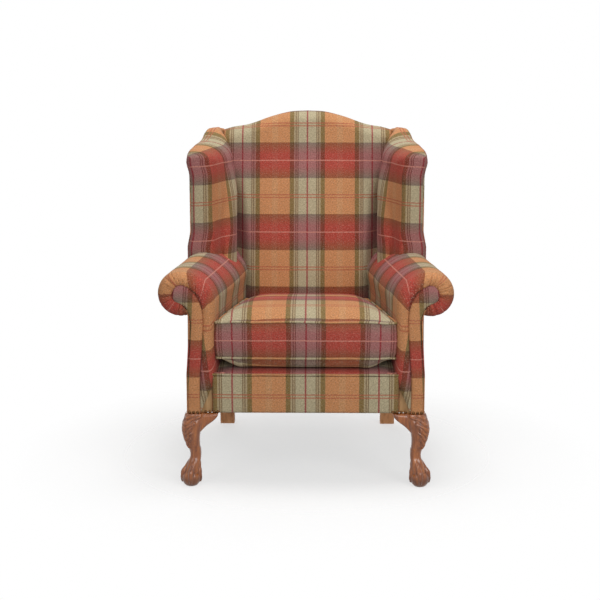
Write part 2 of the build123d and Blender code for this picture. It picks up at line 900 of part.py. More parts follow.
def wing_pad(form, tools):
    """The stuffed wing: its form less the frame and the hollow between its lining and outer panel."""

    def bay(z):
        d0, d1 = wing_post_rear + 20, back_face_depth + 50
        return [
            (wing_plane(d0) + 1, d0, z),
            (wing_plane(d0) - 20, d0, z),
            (wing_plane(d1) - 40, d1, z),
            (wing_plane(d1) + 1, d1, z),
        ]

    return less(Compound(form), loft_points(bay(arm_height + 30), bay(wing_corner_height - 90)), *tools)


def wing_edge(grow, z_low, surface_offset):
    """The line of the wing's outer edge, inset by grow, on a plane outside the wing's outer face."""
    front = wing_front_depth + 10 + grow
    top = wing_top_points(grow)
    slope = (top[1][1] - top[0][1]) / (top[1][0] - top[0][0])
    corner = (front, top[0][1] + (front - top[0][0]) * slope)
    points = [(front, z_low), corner] + top[1:]
    return [at(wing_plane(d) + surface_offset, d, z) for d, z in points]


def wing_piping():
    """The piping up the wing's front edge and along its top."""
    points = wing_edge(piping_stand, arm_height - 12, piping_stand)
    path = FilletPolyline(*points, radius=[26.0, *wing_top_radii])
    return swept_cord(path, piping_radius)


def outside_wing(tools):
    """The flat panel outside the wing."""
    inset = 2 * piping_stand + gap
    inner = wing_edge(inset, arm_height - 37, 0.0)
    path = FilletPolyline(*inner, radius=[20.0, *wing_top_radii])
    start, end = path @ 0, path @ 1
    foot = Vector(end.X, end.Y, start.Z)
    edges = list(path.edges()) + [Edge.make_line(end, foot), Edge.make_line(foot, start)]
    panel = Solid.extrude(Face(Wire(edges)), wing_normal() * panel_thickness)
    return less(panel, behind_chair, *tools)


def wing_normal():
    """Unit vector out of the wing's outer face."""
    reach = hypot(1.0, wing_taper)
    return Vector(1 / reach, wing_taper / reach, 0)


# ---- Seat cushion


def cushion_corners(offset):
    """Plan corners (x, depth) of the cover moved in by offset, with its sides drawn in between."""
    lean = hypot(1.0, seat_taper)
    inset = cushion_inset + offset
    front_d, rear_d = inset, cushion_depth - inset
    front_x = seat_half_front - seat_taper * front_d - inset * lean
    rear_x = seat_half_front - seat_taper * rear_d - inset * lean
    mid_d = (front_d + rear_d) / 2
    side_x = (front_x + rear_x) / 2 - side_draw
    return [
        (-front_x, front_d),
        (0.0, front_d + side_draw),
        (front_x, front_d),
        (side_x, mid_d),
        (rear_x, rear_d),
        (-rear_x, rear_d),
        (-side_x, mid_d),
    ]


def cushion_loop(offset, z):
    """A closed rounded outline of the cushion at one height."""
    corner = max(cushion_corner - offset, 6.0) if offset < 0 else cushion_corner
    points = [at(x, d, z) for x, d in cushion_corners(offset)]
    gentle = 500.0
    radii = [corner, gentle, corner, gentle, corner, corner, gentle]
    return FilletPolyline(*points, radius=radii, close=True)


def cushion_form(inset):
    """The crowned cushion, or the same shape moved in by inset on every side."""
    top, low = cushion_top_crown, cushion_under_crown
    levels = [
        (cushion_bottom + inset, 26.0),
        (cushion_bottom + low * 0.35, 10.0),
        (lower_piping, 0.0),
        ((lower_piping + upper_piping) / 2, -boxing_bulge),
        (upper_piping, 0.0),
        (upper_piping + top * 0.55, 34.0),
        (upper_piping + top * 0.86, 84.0),
        (cushion_top - inset, 140.0),
    ]
    wires = [Wire(cushion_loop(offset + inset, z).edges()) for z, offset in levels]
    return Solid.make_loft(wires, ruled=True)


def cushion_piping(z):
    path = Wire(cushion_loop(-piping_stand - gap, z).edges())
    return swept_cord(path, piping_radius)


zip_back = cushion_depth - cushion_inset + boxing_bulge + gap + 1.0  # rear of the zip's tape
zip_thickness = 1.0
zip_z = (lower_piping + upper_piping) / 2


def zip_tape():
    """The closed zip across the rear boxing: two tapes, the row of teeth and end stops."""
    half = zip_length / 2
    tape_half = zip_tape_height / 2
    back = zip_back
    tape = block(-half, half, back - zip_thickness, back, zip_z - tape_half, zip_z + tape_half)
    teeth = block(-half, half, back - 0.2, back + 1.2, zip_z - 2.0, zip_z + 2.0)
    ends = [s * (half - 2) for s in (-1, 1)]
    stops = [block(x - 2, x + 2, back - 0.2, back + 1.6, zip_z - 3.0, zip_z + 3.0) for x in ends]
    return tape.fuse(teeth, *stops)


def zip_slider():
    """The slider that rides over the teeth, with its pull tab hanging from it."""
    x0 = -zip_length / 2 + zip_end_stop
    x1 = x0 + zip_slider_length
    back = zip_back
    body = block(x0, x1, back + gap, back + 3.4, zip_z - 5.0, zip_z + 5.0)
    channel = block(x0 - 1, x1 + 1, back - 1, back + 1.2 + gap, zip_z - 2.0 - gap, zip_z + 2.0 + gap)
    tab = block(x0 + 3, x1 - 3, back + 2.0, back + 3.2, zip_z - 26.0, zip_z - 4.0)
    return less(body.fuse(tab), channel)


# ---- Front legs


def rounded_square(cx, cd, half, z):
    """A square with rounded corners, level, about a centre across and in depth."""
    h, r = half, half * 0.45
    corners = [(cx - h, cd - h), (cx + h, cd - h), (cx + h, cd + h), (cx - h, cd + h)]
    path = FilletPolyline(*[at(x, d, z) for x, d in corners], radius=r, close=True)
    return Wire(path.edges())


def leg_axis(out):
    """Centre across and in depth of a leg section that stands out diagonally by the given amount."""
    return foot_centre_x + out, foot_depth - out


def cabriole_leg():
    """A curved leg with a knee and two ears, on a ball held by four talons."""
    stations = [
        (leg_height, -knee_set, knee_half + 3),
        (leg_height - 14, -12.0, knee_half + 3.5),
        (leg_height - 30, -5.0, knee_half + 3),
        (leg_height - 50, -1.0, knee_half),
        (leg_height - 70, -1.0, knee_half - 4),
        (leg_height - 96, -6.0, knee_half - 8.5),
        (leg_height - 118, -13.0, ankle_half + 1),
        (leg_height - 132, -14.0, ankle_half),
        (leg_height - 146, -11.0, ankle_half + 1),
        (leg_height - 172, -3.0, ankle_half + 4),
    ]
    wires = []
    for z, out, half in stations:
        cx, cd = leg_axis(out)
        wires.append(rounded_square(cx, cd, half, z))
    body = Solid.make_loft(wires, ruled=True)
    cx, cd = leg_axis(0.0)
    ball = Solid.make_sphere(ball_radius, angle1=-70, angle2=90).moved(Location(at(cx, cd, ball_lift)))
    leg = body.fuse(ball, front_ear(), side_ear())
    return leg.fuse(*[claw(cx, cd, quarter) for quarter in range(4)])


ball_lift = ball_radius * 0.9396926  # the ball is cut flat where it stands


def claw(cx, cd, quarter):
    """One talon, from the ankle down over the ball to the floor, on a diagonal."""
    angle = (quarter + 0.5) * pi / 2
    ca, sa = cos(angle), sin(angle)
    stations = [
        (talon_reach * 0.25, ball_lift * 3.0, 0.7),
        (talon_reach * 0.55, ball_lift * 2.3, 1.0),
        (talon_reach * 0.92, ball_lift * 1.55, 1.0),
        (talon_reach, ball_lift * 0.9, 1.0),
        (talon_reach * 0.88, 0.0, 0.75),
    ]
    wires = [rounded_square(cx + r * ca, cd + r * sa, claw_radius * share, z) for r, z, share in stations]
    return Solid.make_loft(wires, ruled=True)


def ear_plan():
    """Corners (run, drop) of an ear: how far it runs from the leg's centre and how far below the frame."""
    tip = [(ear_length - 8, 0.0), (ear_length - 12, 10.0)]
    return [(0.0, 0.0), *tip, (ear_length - 38, 26.0), (ear_length - 58, 48.0), (0.0, 60.0)]


def front_ear():
    """The bracket beside the knee, along the front of the seat."""
    cx, cd = leg_axis(-knee_set)
    front = cd - knee_half + 4
    outline = [(cx - run, leg_height - drop) for run, drop in ear_plan()]
    faces = [[(x, depth, z) for x, z in outline] for depth in (front, front + ear_thickness)]
    return loft_points(*faces)


def side_ear():
    """The bracket beside the knee, along the side of the seat."""
    cx, cd = leg_axis(-knee_set)
    side = cx + knee_half - 4
    outline = [(cd + run, leg_height - drop) for run, drop in ear_plan()]
    faces = [[(x, depth, z) for depth, z in outline] for x in (side - ear_thickness, side)]
    return loft_points(*faces)


# ---- Nails


def nail(x, depth, z, direction):
    """One domed nail head with its shank driven into the frame behind it."""
    radius = nail_diameter / 2
    plane = Plane(origin=at(x, depth, z), z_dir=direction)
    ball = Solid.make_sphere(radius * 1.25).moved(Location(plane.location))
    base = Plane(origin=plane.origin + plane.z_dir * radius * 0.75, z_dir=direction)
    keep = Solid.make_cylinder(radius, radius, base)
    return Compound(ball.solids()).intersect(keep).solids()


def nail_row():
    """Domed heads along the foot of the cover, over the front leg and round its side."""
    z = leg_height + nail_diameter / 2 + gap
    radius = nail_diameter / 2
    sink = radius * 0.75 - gap
    heads = []
    first = facing_corners()[0][0] - radius - 0.5
    inner_edge = facing_corners()[-1][0]
    for i in range(8):
        x = first - nail_pitch * i
        face = -facing_thickness if x - radius > inner_edge else 0.0
        if face == 0.0 and x + radius > inner_edge:
            continue
        heads.extend(nail(x, face + sink, z, Vector(0, -1, 0)))
    for i in range(8):
        depth = nail_pitch * (i + 0.5)
        x = side_plane(depth) + panel_thickness
        heads.extend(nail(x - sink, depth, z, Vector(1, 0, 0)))
    return heads


def build():
    os.makedirs("parts", exist_ok=True)
    posts = both_sides(back_post())
    dowels = [s for pin in frame_dowels() for s in both_sides(pin)]
    screws = [s for screw in block_screws() for s in both_sides(screw)]
    bolts = both_sides(leg_bolt())
    pins = dowels + screws + list(bolts)

    front_end = facing_corners(-2.0)[-1][0]
    front = block(-front_end, front_end, stump_front, stump_front + rail_thickness, leg_height, rail_top)
    save("front_rail", less(front, *pins))
    save("rear_rail", less(cross_rail(leg_height, rail_height, rail_thickness), *pins))
    save("back_cross_rail", less(cross_rail(cross_rail_bottom, cross_rail_height, rail_thickness), *pins))
    save("top_rail", less(Compound(top_rail()), *pins))
    save_pair("back_post", Compound(less(back_post(), *pins)))
    save_pair("arm_stump", Compound(less(arm_stump(), *pins)))
    save_pair("side_rail", Compound(less(Compound(side_rail()), *pins)))
    save_pair("arm_rail", Compound(arm_rail()))
    save_pair("wing_post", wing_post())
    save_pair("wing_rail", Compound(wing_rail()))
    save_pair("arm_lining", Compound(arm_lining()))
    blocks = [s for front_one in (True, False) for s in both_sides(corner_block(front_one))]
    save("corner_blocks", less(Compound(blocks), *pins))
    save("corner_block_screws", *screws)
    save("frame_dowels", *dowels)
    save("leg_bolts", *bolts)

    save("seat_springs", *[zigzag_spring(x) for x in spring_positions()])
    save("spring_clips", Compound(spring_clips()))
    save("seat_lining", seat_lining())
    save("seat_deck", Compound(seat_deck()))
    save("dust_cover", Compound(dust_cover()))
    save("dust_cover_staples", *dust_cover_staples())
    save("back_webbing", *back_webbing())

    back_whole = inside_back_form()
    wing_rails = [s for r in wing_rail() for s in both_sides(r)]
    frame_back = [*back_bay(), *posts, *top_rail(), *wing_rails]
    save("inside_back", less(back_whole, *frame_back))
    save("outside_back", Compound(outside_back()))
    save("back_piping", back_piping())

    arm_whole = arm_form()
    wing_whole = wing_form()
    bay = back_bay()
    arm_tools = [arm_stump(), front, *arm_rail(), wing_post(), posts[0], *bay, *back_whole.solids()]
    save_pair("arm_pad", Compound(arm_pad(arm_whole, arm_tools)))
    wing_tools = [wing_post(), *wing_rail(), posts[0], *bay, *back_whole.solids(), *arm_whole]
    save_pair("wing_pad", Compound(wing_pad(wing_whole, wing_tools)))
    save_pair("wing_piping", wing_piping())
    save_pair("outside_wing", Compound(outside_wing(arm_whole)))
    save_pair("outside_arm", Compound(outside_arm()))
    save_pair("arm_facing", facing())
    save("seat_border", border_pad())
    save("border_piping", border_piping())

    cover = cushion_form(0.0).cut(cushion_form(cover_thickness))
    save("cushion_cover", cover)
    save("cushion_core", cushion_form(cover_thickness + gap))
    save("cushion_piping_upper", cushion_piping(upper_piping))
    save("cushion_piping_lower", cushion_piping(lower_piping))
    save("cushion_zip", zip_tape())
    save("zip_slider", Compound(zip_slider()))

    save_pair("front_leg", Compound(less(cabriole_leg(), *bolts)))
    save_pair("nailheads", Compound(nail_row()))


build()
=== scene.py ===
import json
from math import cos, hypot, pi, radians, sin, sqrt

import bpy
import numpy as np
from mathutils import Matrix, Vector


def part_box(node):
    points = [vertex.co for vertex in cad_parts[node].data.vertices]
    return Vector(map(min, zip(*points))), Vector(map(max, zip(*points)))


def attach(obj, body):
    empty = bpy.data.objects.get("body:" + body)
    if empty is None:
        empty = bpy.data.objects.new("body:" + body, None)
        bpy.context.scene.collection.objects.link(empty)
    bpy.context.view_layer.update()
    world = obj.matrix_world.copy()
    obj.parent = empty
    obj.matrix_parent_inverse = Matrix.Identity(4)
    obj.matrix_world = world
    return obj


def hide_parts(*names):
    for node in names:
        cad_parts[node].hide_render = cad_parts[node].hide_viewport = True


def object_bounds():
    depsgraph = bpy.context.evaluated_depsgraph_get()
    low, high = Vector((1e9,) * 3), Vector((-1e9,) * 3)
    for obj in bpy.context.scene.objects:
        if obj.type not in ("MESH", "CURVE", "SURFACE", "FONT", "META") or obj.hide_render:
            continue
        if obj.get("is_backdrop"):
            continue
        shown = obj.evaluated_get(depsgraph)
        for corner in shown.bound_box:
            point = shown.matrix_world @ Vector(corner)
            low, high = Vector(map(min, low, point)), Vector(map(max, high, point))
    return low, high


# A tartan wing chair: the looks of its cloth, piping, wood and nails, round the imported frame.
# Metres. "depth" is the distance behind the front face of the seat border; side pieces are
# drawn on the +X side and mirrored.

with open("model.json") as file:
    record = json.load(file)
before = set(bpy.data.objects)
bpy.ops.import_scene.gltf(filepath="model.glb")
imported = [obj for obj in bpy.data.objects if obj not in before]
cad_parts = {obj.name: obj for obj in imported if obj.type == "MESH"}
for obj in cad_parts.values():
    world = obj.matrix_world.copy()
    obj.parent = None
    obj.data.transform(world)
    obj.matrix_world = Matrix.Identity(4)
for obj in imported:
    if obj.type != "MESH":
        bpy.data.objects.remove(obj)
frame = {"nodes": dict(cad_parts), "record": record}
cad_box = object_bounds()

# ---- Sizes that the cloth is cut to

border_low, border_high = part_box("seat_border")
FRONT, LEG_TOP = border_low[1:]  # FRONT is the y of the border's front face
BORDER_HALF, BORDER_TOP = border_high[0], border_high[2]
SIDE_FRONT = 0.334  # outer plane of the arm frame, half width at the front
SIDE_REAR = 0.296
FRAME_DEPTH = 0.590
POST_THICK = 0.040
SEAT_FRONT = 0.2635  # half width between the inside arms, at the front
SEAT_TAPER = 0.057 / 0.520
PANEL = 0.004  # thickness of the outside panels
PANEL_STAND = 0.0032  # how far their turned edges stand behind the posts
ARM_TOP = 0.627
ROLL_FRONT, ROLL_REAR = 0.065, 0.050  # radius of the scroll
OVERHANG_FRONT, OVERHANG_REAR = 0.024, 0.014  # how far its middle stands outside the frame
ROLL_SQUASH = 0.955  # its underside is this much flatter than a circle
SHOULDER = 0.535
ARM_ROUND = 0.030  # depth over which the arm's cover rounds into the facing
STRIP_DEPTH = 0.016  # depth at which the arm cover's strip down to the leg ends
BACK_DEPTH = 0.524
BACK_BEND = 0.500
BACK_RAKE = 0.2
BACK_FOOT, BACK_FOOT_HALF = 0.3536, 0.206  # where the inside back meets the platform
POST_RAKE = 0.114
RAIL_TOP = 0.316
CAMEL_END = 0.997
CAMEL_HALF = 0.273
WING_DEPTH = 0.382  # front edge of the wing
WING_FRONT = 0.3681  # half width there
WING_REAR = 0.298
REAR_EDGE = 0.7146  # depth of the top of the back's rear edge
CORD = 0.0032  # radius of the piping

# ---- The tartan's sett

WARP_REPEAT = 0.211
WEFT_REPEAT = 0.232
THREAD = 0.0012  # spacing of the twill lines

# Heights at which the middle of a red band falls on each part of the cover
BACK_PINK = 0.673
WING_PINK = 0.664
FACING_PINK = 0.379
CUSHION_PINK = 0.436
BORDER_DOUBLE = 0.267  # height of the double line on the border

# Where a red line of the warp falls on each part, measured back from its front edge
SIDE_LINE = 0.131
ARM_LINE = 0.101
WING_LINE = 0.0195
FACING_LINE = 0.377  # half width
FACING_STRETCH = 1.065  # how much closer together the bands lie on the tightly drawn panels


def side_plane(depth):
    return SIDE_FRONT + (SIDE_REAR - SIDE_FRONT) * np.minimum(depth, FRAME_DEPTH) / FRAME_DEPTH


def seat_side(depth):
    return SEAT_FRONT - SEAT_TAPER * depth


def post_rear(z):
    return FRAME_DEPTH + POST_THICK + POST_RAKE * np.maximum(z - RAIL_TOP, 0)


def back_face(z):
    return BACK_DEPTH + BACK_RAKE * np.maximum(z - BACK_BEND, 0)


def back_half(z):
    return BACK_FOOT_HALF + (CAMEL_HALF - BACK_FOOT_HALF) * (z - BACK_FOOT) / (CAMEL_END - BACK_FOOT)


def wing_plane(depth):
    return WING_FRONT + (WING_REAR - WING_FRONT) * (depth - WING_DEPTH) / (REAR_EDGE - WING_DEPTH)


def smooth(x):
    x = np.clip(x, 0.0, 1.0)
    return x * x * (3 - 2 * x)


def stack(*parts):
    """Numbers side by side on a new last axis, spread to one shape."""
    return np.stack(np.broadcast_arrays(*parts), axis=-1)


def unit(v):
    return v / np.linalg.norm(v, axis=-1, keepdims=True)


def waist(z):
    """How far the wing's front edge draws in between its top corner and the arm."""
    return 0.009 * smooth((0.915 - z) / 0.05) * smooth((z - 0.640) / 0.06)


def through(keys, at):
    """A smooth curve through rows of keys (position, values...), read at the given positions."""
    keys = np.array(keys, float)
    pos, val = keys[:, 0], keys[:, 1:]
    slope = np.gradient(val, pos, axis=0)
    at = np.clip(np.asarray(at, float), pos[0], pos[-1])
    k = np.clip(np.searchsorted(pos, at, side="right") - 1, 0, len(pos) - 2)
    h = (pos[k + 1] - pos[k])[..., None]
    t = ((at - pos[k])[..., None]) / h
    a, b, c, d = val[k], slope[k] * h, val[k + 1], slope[k + 1] * h
    return (a * (1 + 2 * t) + b * t) * (1 - t) ** 2 + (c * (3 - 2 * t) + d * (t - 1)) * t * t


def circle(count):
    """Angles evenly round a full turn."""
    return np.linspace(0, 2 * pi, count + 1)[:-1]


def bezier(a, b, c, d, t):
    return (1 - t) ** 3 * a + 3 * t * (1 - t) ** 2 * b + 3 * t * t * (1 - t) * c + t**3 * d


def wander(a, b, seed, scale):
    """Soft irregular waves over two coordinates in metres, about -1 to 1."""
    total = 0.0
    for i in range(5):
        angle = seed * 1.7 + i * 2.4
        wave = 2 * pi / (scale * (0.7 + 0.23 * i))
        total = total + np.sin((a * cos(angle) + b * sin(angle)) * wave + seed * 3.1 + i * i)
    return total / 3.2


def lengths(points):
    """Distance along rows of points, starting at 0."""
    steps = np.linalg.norm(np.diff(points, axis=0), axis=-1)
    return np.concatenate([np.zeros((1,) + steps.shape[1:]), np.cumsum(steps, axis=0)])


# ---- Materials


def linear(r, g, b):
    def one(c):
        c = c / 255
        return c / 12.92 if c <= 0.04045 else ((c + 0.055) / 1.055) ** 2.4

    return (one(r), one(g), one(b), 1.0)


class Nodes:
    """A short way to wire the nodes of a tree."""

    def __init__(self, tree):
        self.tree = tree

    def feed(self, socket, value):
        """Sets a socket to a number or colour, or links another node's output to it."""
        if isinstance(value, (int, float, tuple)):
            socket.default_value = value
        else:
            self.tree.links.new(value, socket)

    def add(self, kind, feeds=(), out=0, **settings):
        """Adds a node, fed by pairs of a socket and what goes into it, and returns one output."""
        node = self.tree.nodes.new(kind)
        for key, value in settings.items():
            setattr(node, key, value)
        for socket, value in feeds:
            self.feed(node.inputs[socket], value)
        return node.outputs[out]

    def math(self, operation, *values):
        return self.add("ShaderNodeMath", enumerate(values), operation=operation)

    def plus(self, a, b):
        return self.math("ADD", a, b)

    def minus(self, a, b):
        return self.math("SUBTRACT", a, b)

    def times(self, a, b):
        return self.math("MULTIPLY", a, b)

    def mix(self, factor, a, b, blend="MIX"):
        return self.add("ShaderNodeMix", ((0, factor), (6, a), (7, b)), 2, data_type="RGBA", blend_type=blend)

    def ramp(self, factor, stops, interpolation="LINEAR"):
        node = self.tree.nodes.new("ShaderNodeValToRGB")
        node.color_ramp.interpolation = interpolation
        elements = node.color_ramp.elements
        while len(elements) < len(stops):
            elements.new(0.5)
        for element, (position, colour) in zip(elements, stops):
            element.position = position
            element.color = colour
        self.feed(node.inputs[0], factor)
        return node.outputs[0]

    def noise(self, vector, scale, detail=2.0, roughness=0.5):
        feeds = (("Vector", vector), ("Scale", scale), ("Detail", detail), ("Roughness", roughness))
        return self.add("ShaderNodeTexNoise", feeds, "Fac")

    def stretched(self, vector, *scale):
        return self.add("ShaderNodeMapping", (("Vector", vector), ("Scale", scale)))

    def between(self, value, low, high, most=1.0):
        """0 below one level of a value, and the most above the other."""
        feeds = (("Value", value), ("From Min", low), ("From Max", high), ("To Max", most))
        return self.add("ShaderNodeMapRange", feeds)

    def grey(self, value, low, high):
        """A value of 0 to 1 as a grey between two levels."""
        return self.ramp(value, [(0.0, (low, low, low, 1)), (1.0, (high, high, high, 1))])

    def place(self):
        return self.add("ShaderNodeTexCoord", out="Object")


class Surface(Nodes):
    """The nodes of a new material and its one shader."""

    def __init__(self, name):
        self.material = bpy.data.materials.new(name)
        self.material.use_nodes = True
        super().__init__(self.material.node_tree)
        self.shader = self.tree.nodes["Principled BSDF"]

    def bump(self, height, strength, distance):
        feeds = (("Height", height), ("Strength", strength), ("Distance", distance))
        self.set(Normal=self.add("ShaderNodeBump", feeds))

    def set(self, **values):
        for key, value in values.items():
            self.feed(self.shader.inputs[key.replace("_", " ")], value)


# Colours of each stripe of the warp where it crosses the plain band, the red band's middle and its edge
STRIPES = [  # from the red line outwards: (start of the stripe, plain, red, edge)
    (0.0, (150, 84, 76), (140, 52, 58), (114, 60, 58)),
    (0.0022, (174, 162, 132), (154, 100, 98), (126, 112, 98)),
    (0.0285, (128, 108, 80), (118, 62, 60), (92, 74, 60)),
    (0.0315, (166, 148, 116), (150, 92, 88), (118, 100, 82)),
    (0.0350, (128, 108, 80), (118, 62, 60), (92, 74, 60)),
    (0.0380, (166, 148, 116), (150, 92, 88), (118, 100, 82)),
    (0.0430, (128, 105, 64), (124, 56, 44), (94, 72, 46)),
    (0.0565, (190, 132, 88), (166, 68, 57), (140, 82, 54)),
    (0.0960, (190, 138, 95), (166, 75, 63), (139, 87, 59)),
]
DOUBLE_LINE = (168, 88, 66)
PINK_LINE = (206, 140, 124)
RED_CORE = 0.020  # half width of the red band's even middle
RED_HALF = 0.058
LINE_HALF = 0.0018


def tartan():
    """Wool twill: stripes of the warp crossed by plain and red bands of the weft."""
    n = Surface("tartan_wool")
    cloth = n.add("ShaderNodeUVMap", uv_map="cloth")
    frayed = n.times(n.minus(n.noise(cloth, 900.0, 1.0), 0.5), 0.0022)
    u, v = [n.plus(n.add("ShaderNodeSeparateXYZ", [(0, cloth)], axis), frayed) for axis in (0, 1)]
    a = n.math("PINGPONG", u, WARP_REPEAT / 2)  # distance from the nearest red line of the warp
    b = n.math("PINGPONG", v, WEFT_REPEAT / 2)  # distance from the middle of the nearest red band
    stripe = n.math("DIVIDE", a, WARP_REPEAT / 2)
    plain, red, edge = [
        n.ramp(stripe, [(row[0] / (WARP_REPEAT / 2), linear(*row[k])) for row in STRIPES], "CONSTANT")
        for k in (1, 2, 3)
    ]
    band = n.mix(n.between(b, RED_CORE, RED_HALF), red, edge)
    colour = n.mix(n.math("GREATER_THAN", b, RED_HALF), band, plain)
    pink = n.math("LESS_THAN", b, LINE_HALF)
    colour = n.mix(n.times(pink, 0.62), colour, linear(*PINK_LINE))
    off = n.math("ABSOLUTE", n.minus(b, WEFT_REPEAT / 2 - 0.0045))
    double = n.math("LESS_THAN", off, LINE_HALF)
    colour = n.mix(n.times(double, 0.72), colour, linear(*DOUBLE_LINE))

    diagonal = n.math("SINE", n.times(n.plus(u, v), 2 * pi / (THREAD * 1.6)))
    across = n.math("SINE", n.times(n.minus(u, v), 2 * pi / (THREAD * 2.2)))
    twill = n.plus(n.times(diagonal, 0.35), n.times(across, 0.15))

    fleck = n.noise(cloth, 620.0, 3.0, 0.7)
    warp_yarn, weft_yarn = [
        n.noise(n.stretched(cloth, *fine, 1.0), 1.0, 2.0, 0.6) for fine in ((620.0, 150.0), (150.0, 620.0))
    ]
    melange = n.noise(cloth, 250.0, 2.0, 0.65)
    patch = n.noise(cloth, 34.0, 3.0, 0.6)
    parts = ((twill, 0.0, 0.10), (fleck, 0.5, 0.5), (warp_yarn, 0.5, 0.75), (weft_yarn, 0.5, 0.75))
    parts += ((melange, 0.5, 1.2), (patch, 0.5, 0.16))
    tone = 1.0
    for value, middle, gain in parts:
        tone = n.plus(n.times(n.minus(value, middle), gain), tone)
    shade = n.add("ShaderNodeCombineXYZ", [(axis, tone) for axis in range(3)])
    colour = n.mix(1.0, colour, shade, "MULTIPLY")
    for scale, most, tint in ((430.0, 0.42, (214, 200, 178)), (390.0, 0.38, (66, 44, 34))):
        spots = n.between(n.noise(cloth, scale, 2.0, 0.6), 0.56, 0.72, most)
        colour = n.mix(spots, colour, linear(*tint))
    n.set(Base_Color=colour, Roughness=n.grey(fleck, 0.78, 0.98))
    n.bump(n.plus(n.times(twill, 0.5), n.times(fleck, 0.9)), 0.35, 0.0007)
    n.set(Sheen_Weight=0.04, Sheen_Roughness=0.45, Specular_IOR_Level=0.12)
    return n.material


def wood(name, dark, mid, light, gloss):
    """Stained wood with its grain along Z, and painted shade that darkens it where the attribute "hollow"
    says so.
    """
    n = Surface(name)
    drawn = n.stretched(n.place(), 1.0, 1.0, 0.09)
    figure = n.noise(drawn, 95.0, 5.0, 0.62)
    pores = n.noise(drawn, 900.0, 2.0, 0.6)
    colour = n.ramp(figure, [(0.28, linear(*dark)), (0.5, linear(*mid)), (0.74, linear(*light))])
    colour = n.mix(1.0, colour, n.grey(pores, 0.72, 1.14), "MULTIPLY")
    hollow = n.add("ShaderNodeAttribute", out="Fac", attribute_name="hollow")
    # painted shade: the carving's hollows and the foot's base are drawn near black
    hollow_shade_colour = tuple(c * 0.16 for c in linear(*dark)[:3]) + (1.0,)
    colour = n.mix(n.math("MINIMUM", n.times(hollow, 0.9), 0.92), colour, hollow_shade_colour)
    rough = n.plus(n.times(pores, 0.18), n.times(hollow, 0.3))
    n.set(Base_Color=colour, Roughness=n.plus(rough, gloss))
    n.bump(n.plus(pores, figure), 0.12, 0.0004)
    return n


def plain_cloth(name, colour, scale=900.0):
    n = Surface(name)
    fleck = n.noise(n.place(), scale, 3.0, 0.7)
    low, high = [tuple(min(c * gain, 1) for c in linear(*colour)[:3]) + (1.0,) for gain in (0.72, 1.25)]
    n.set(Base_Color=n.ramp(fleck, [(0.3, low), (0.7, high)]), Roughness=n.grey(fleck, 0.75, 0.97))
    n.set(Sheen_Weight=0.1, Specular_IOR_Level=0.2)
    n.bump(fleck, 0.3, 0.0006)
    return n.material


def metal(name, colour, worn, rough):
    n = Surface(name)
    stain = n.noise(n.place(), 420.0, 4.0, 0.65)
    patina = n.ramp(stain, [(0.35, linear(*colour)), (0.7, linear(*worn))])
    n.set(Base_Color=patina, Roughness=n.grey(stain, rough, rough + 0.25), Metallic=1.0)
    n.bump(stain, 0.2, 0.0003)
    return n.material


CLOTH = tartan()
polish = wood("polished_wood", (104, 50, 18), (152, 83, 34), (190, 114, 54), 0.20)
polish.set(Coat_Weight=0.5, Coat_Roughness=0.07, Specular_IOR_Level=0.4)
CARVED = polish.material
FOAM = plain_cloth("cushion_foam", (226, 218, 196), 260.0)


# ---- Meshes


def mesh_piece(name, points, faces, loop_uv, material, slot, replaces, body="chair"):
    mesh = bpy.data.meshes.new(name)
    mesh.from_pydata([tuple(p) for p in points], [], faces)
    if loop_uv is not None:
        layer = mesh.uv_layers.new(name="cloth")
        layer.data.foreach_set("uv", np.asarray(loop_uv, dtype=np.float32).ravel())
    mesh.polygons.foreach_set("use_smooth", [True] * len(mesh.polygons))
    mesh.materials.append(material)
    piece = bpy.data.objects.new(name, mesh)
    bpy.context.scene.collection.objects.link(piece)
    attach(piece, body)
    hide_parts(*replaces)
    return piece


def grid_faces(rows, cols, wrap, flip):
    """Quads of a grid, as (vertex indices, indices into the unwrapped grid)."""
    i, j = np.meshgrid(np.arange(rows - 1), np.arange(cols - 1), indexing="ij")
    i, j = i.ravel(), j.ravel()
    corners = [(i, j), (i, j + 1), (i + 1, j + 1), (i + 1, j)]
    if flip:
        corners = corners[::-1]
    width = cols - 1 if wrap else cols
    real = np.stack([a * width + (b % width if wrap else b) for a, b in corners], axis=1)
    full = np.stack([a * cols + b for a, b in corners], axis=1)
    return real, full


def grid_piece(name, points, uv, wrap=False, mirror=False, flip=False, **rest):
    """A piece from a grid of points (rows, columns, 3) and its cloth coordinates."""
    rows, cols = points.shape[:2]
    place = points.copy()
    place[..., 1] += FRONT
    if mirror:
        place[..., 0] *= -1
    real, full = grid_faces(rows, cols, wrap, flip != mirror)
    flat = place[:, :-1] if wrap else place
    loop_uv = uv.reshape(-1, 2)[full.ravel()]
    return mesh_piece(name, flat.reshape(-1, 3), real.tolist(), loop_uv, **rest)


def cover(name, node, points, uv, thickness, side="", flip=False, slot="tartan_cloth"):
    """A padded cover in the place of one CAD node: a grid of points, given its thickness inwards."""
    rest = {"material": CLOTH, "slot": slot, "replaces": [node + side]}
    piece = grid_piece(name + side, points, uv, mirror=side == "_left", flip=flip, **rest)
    solid = piece.modifiers.new("thickness", "SOLIDIFY")
    solid.thickness = thickness
    solid.offset = -1.0


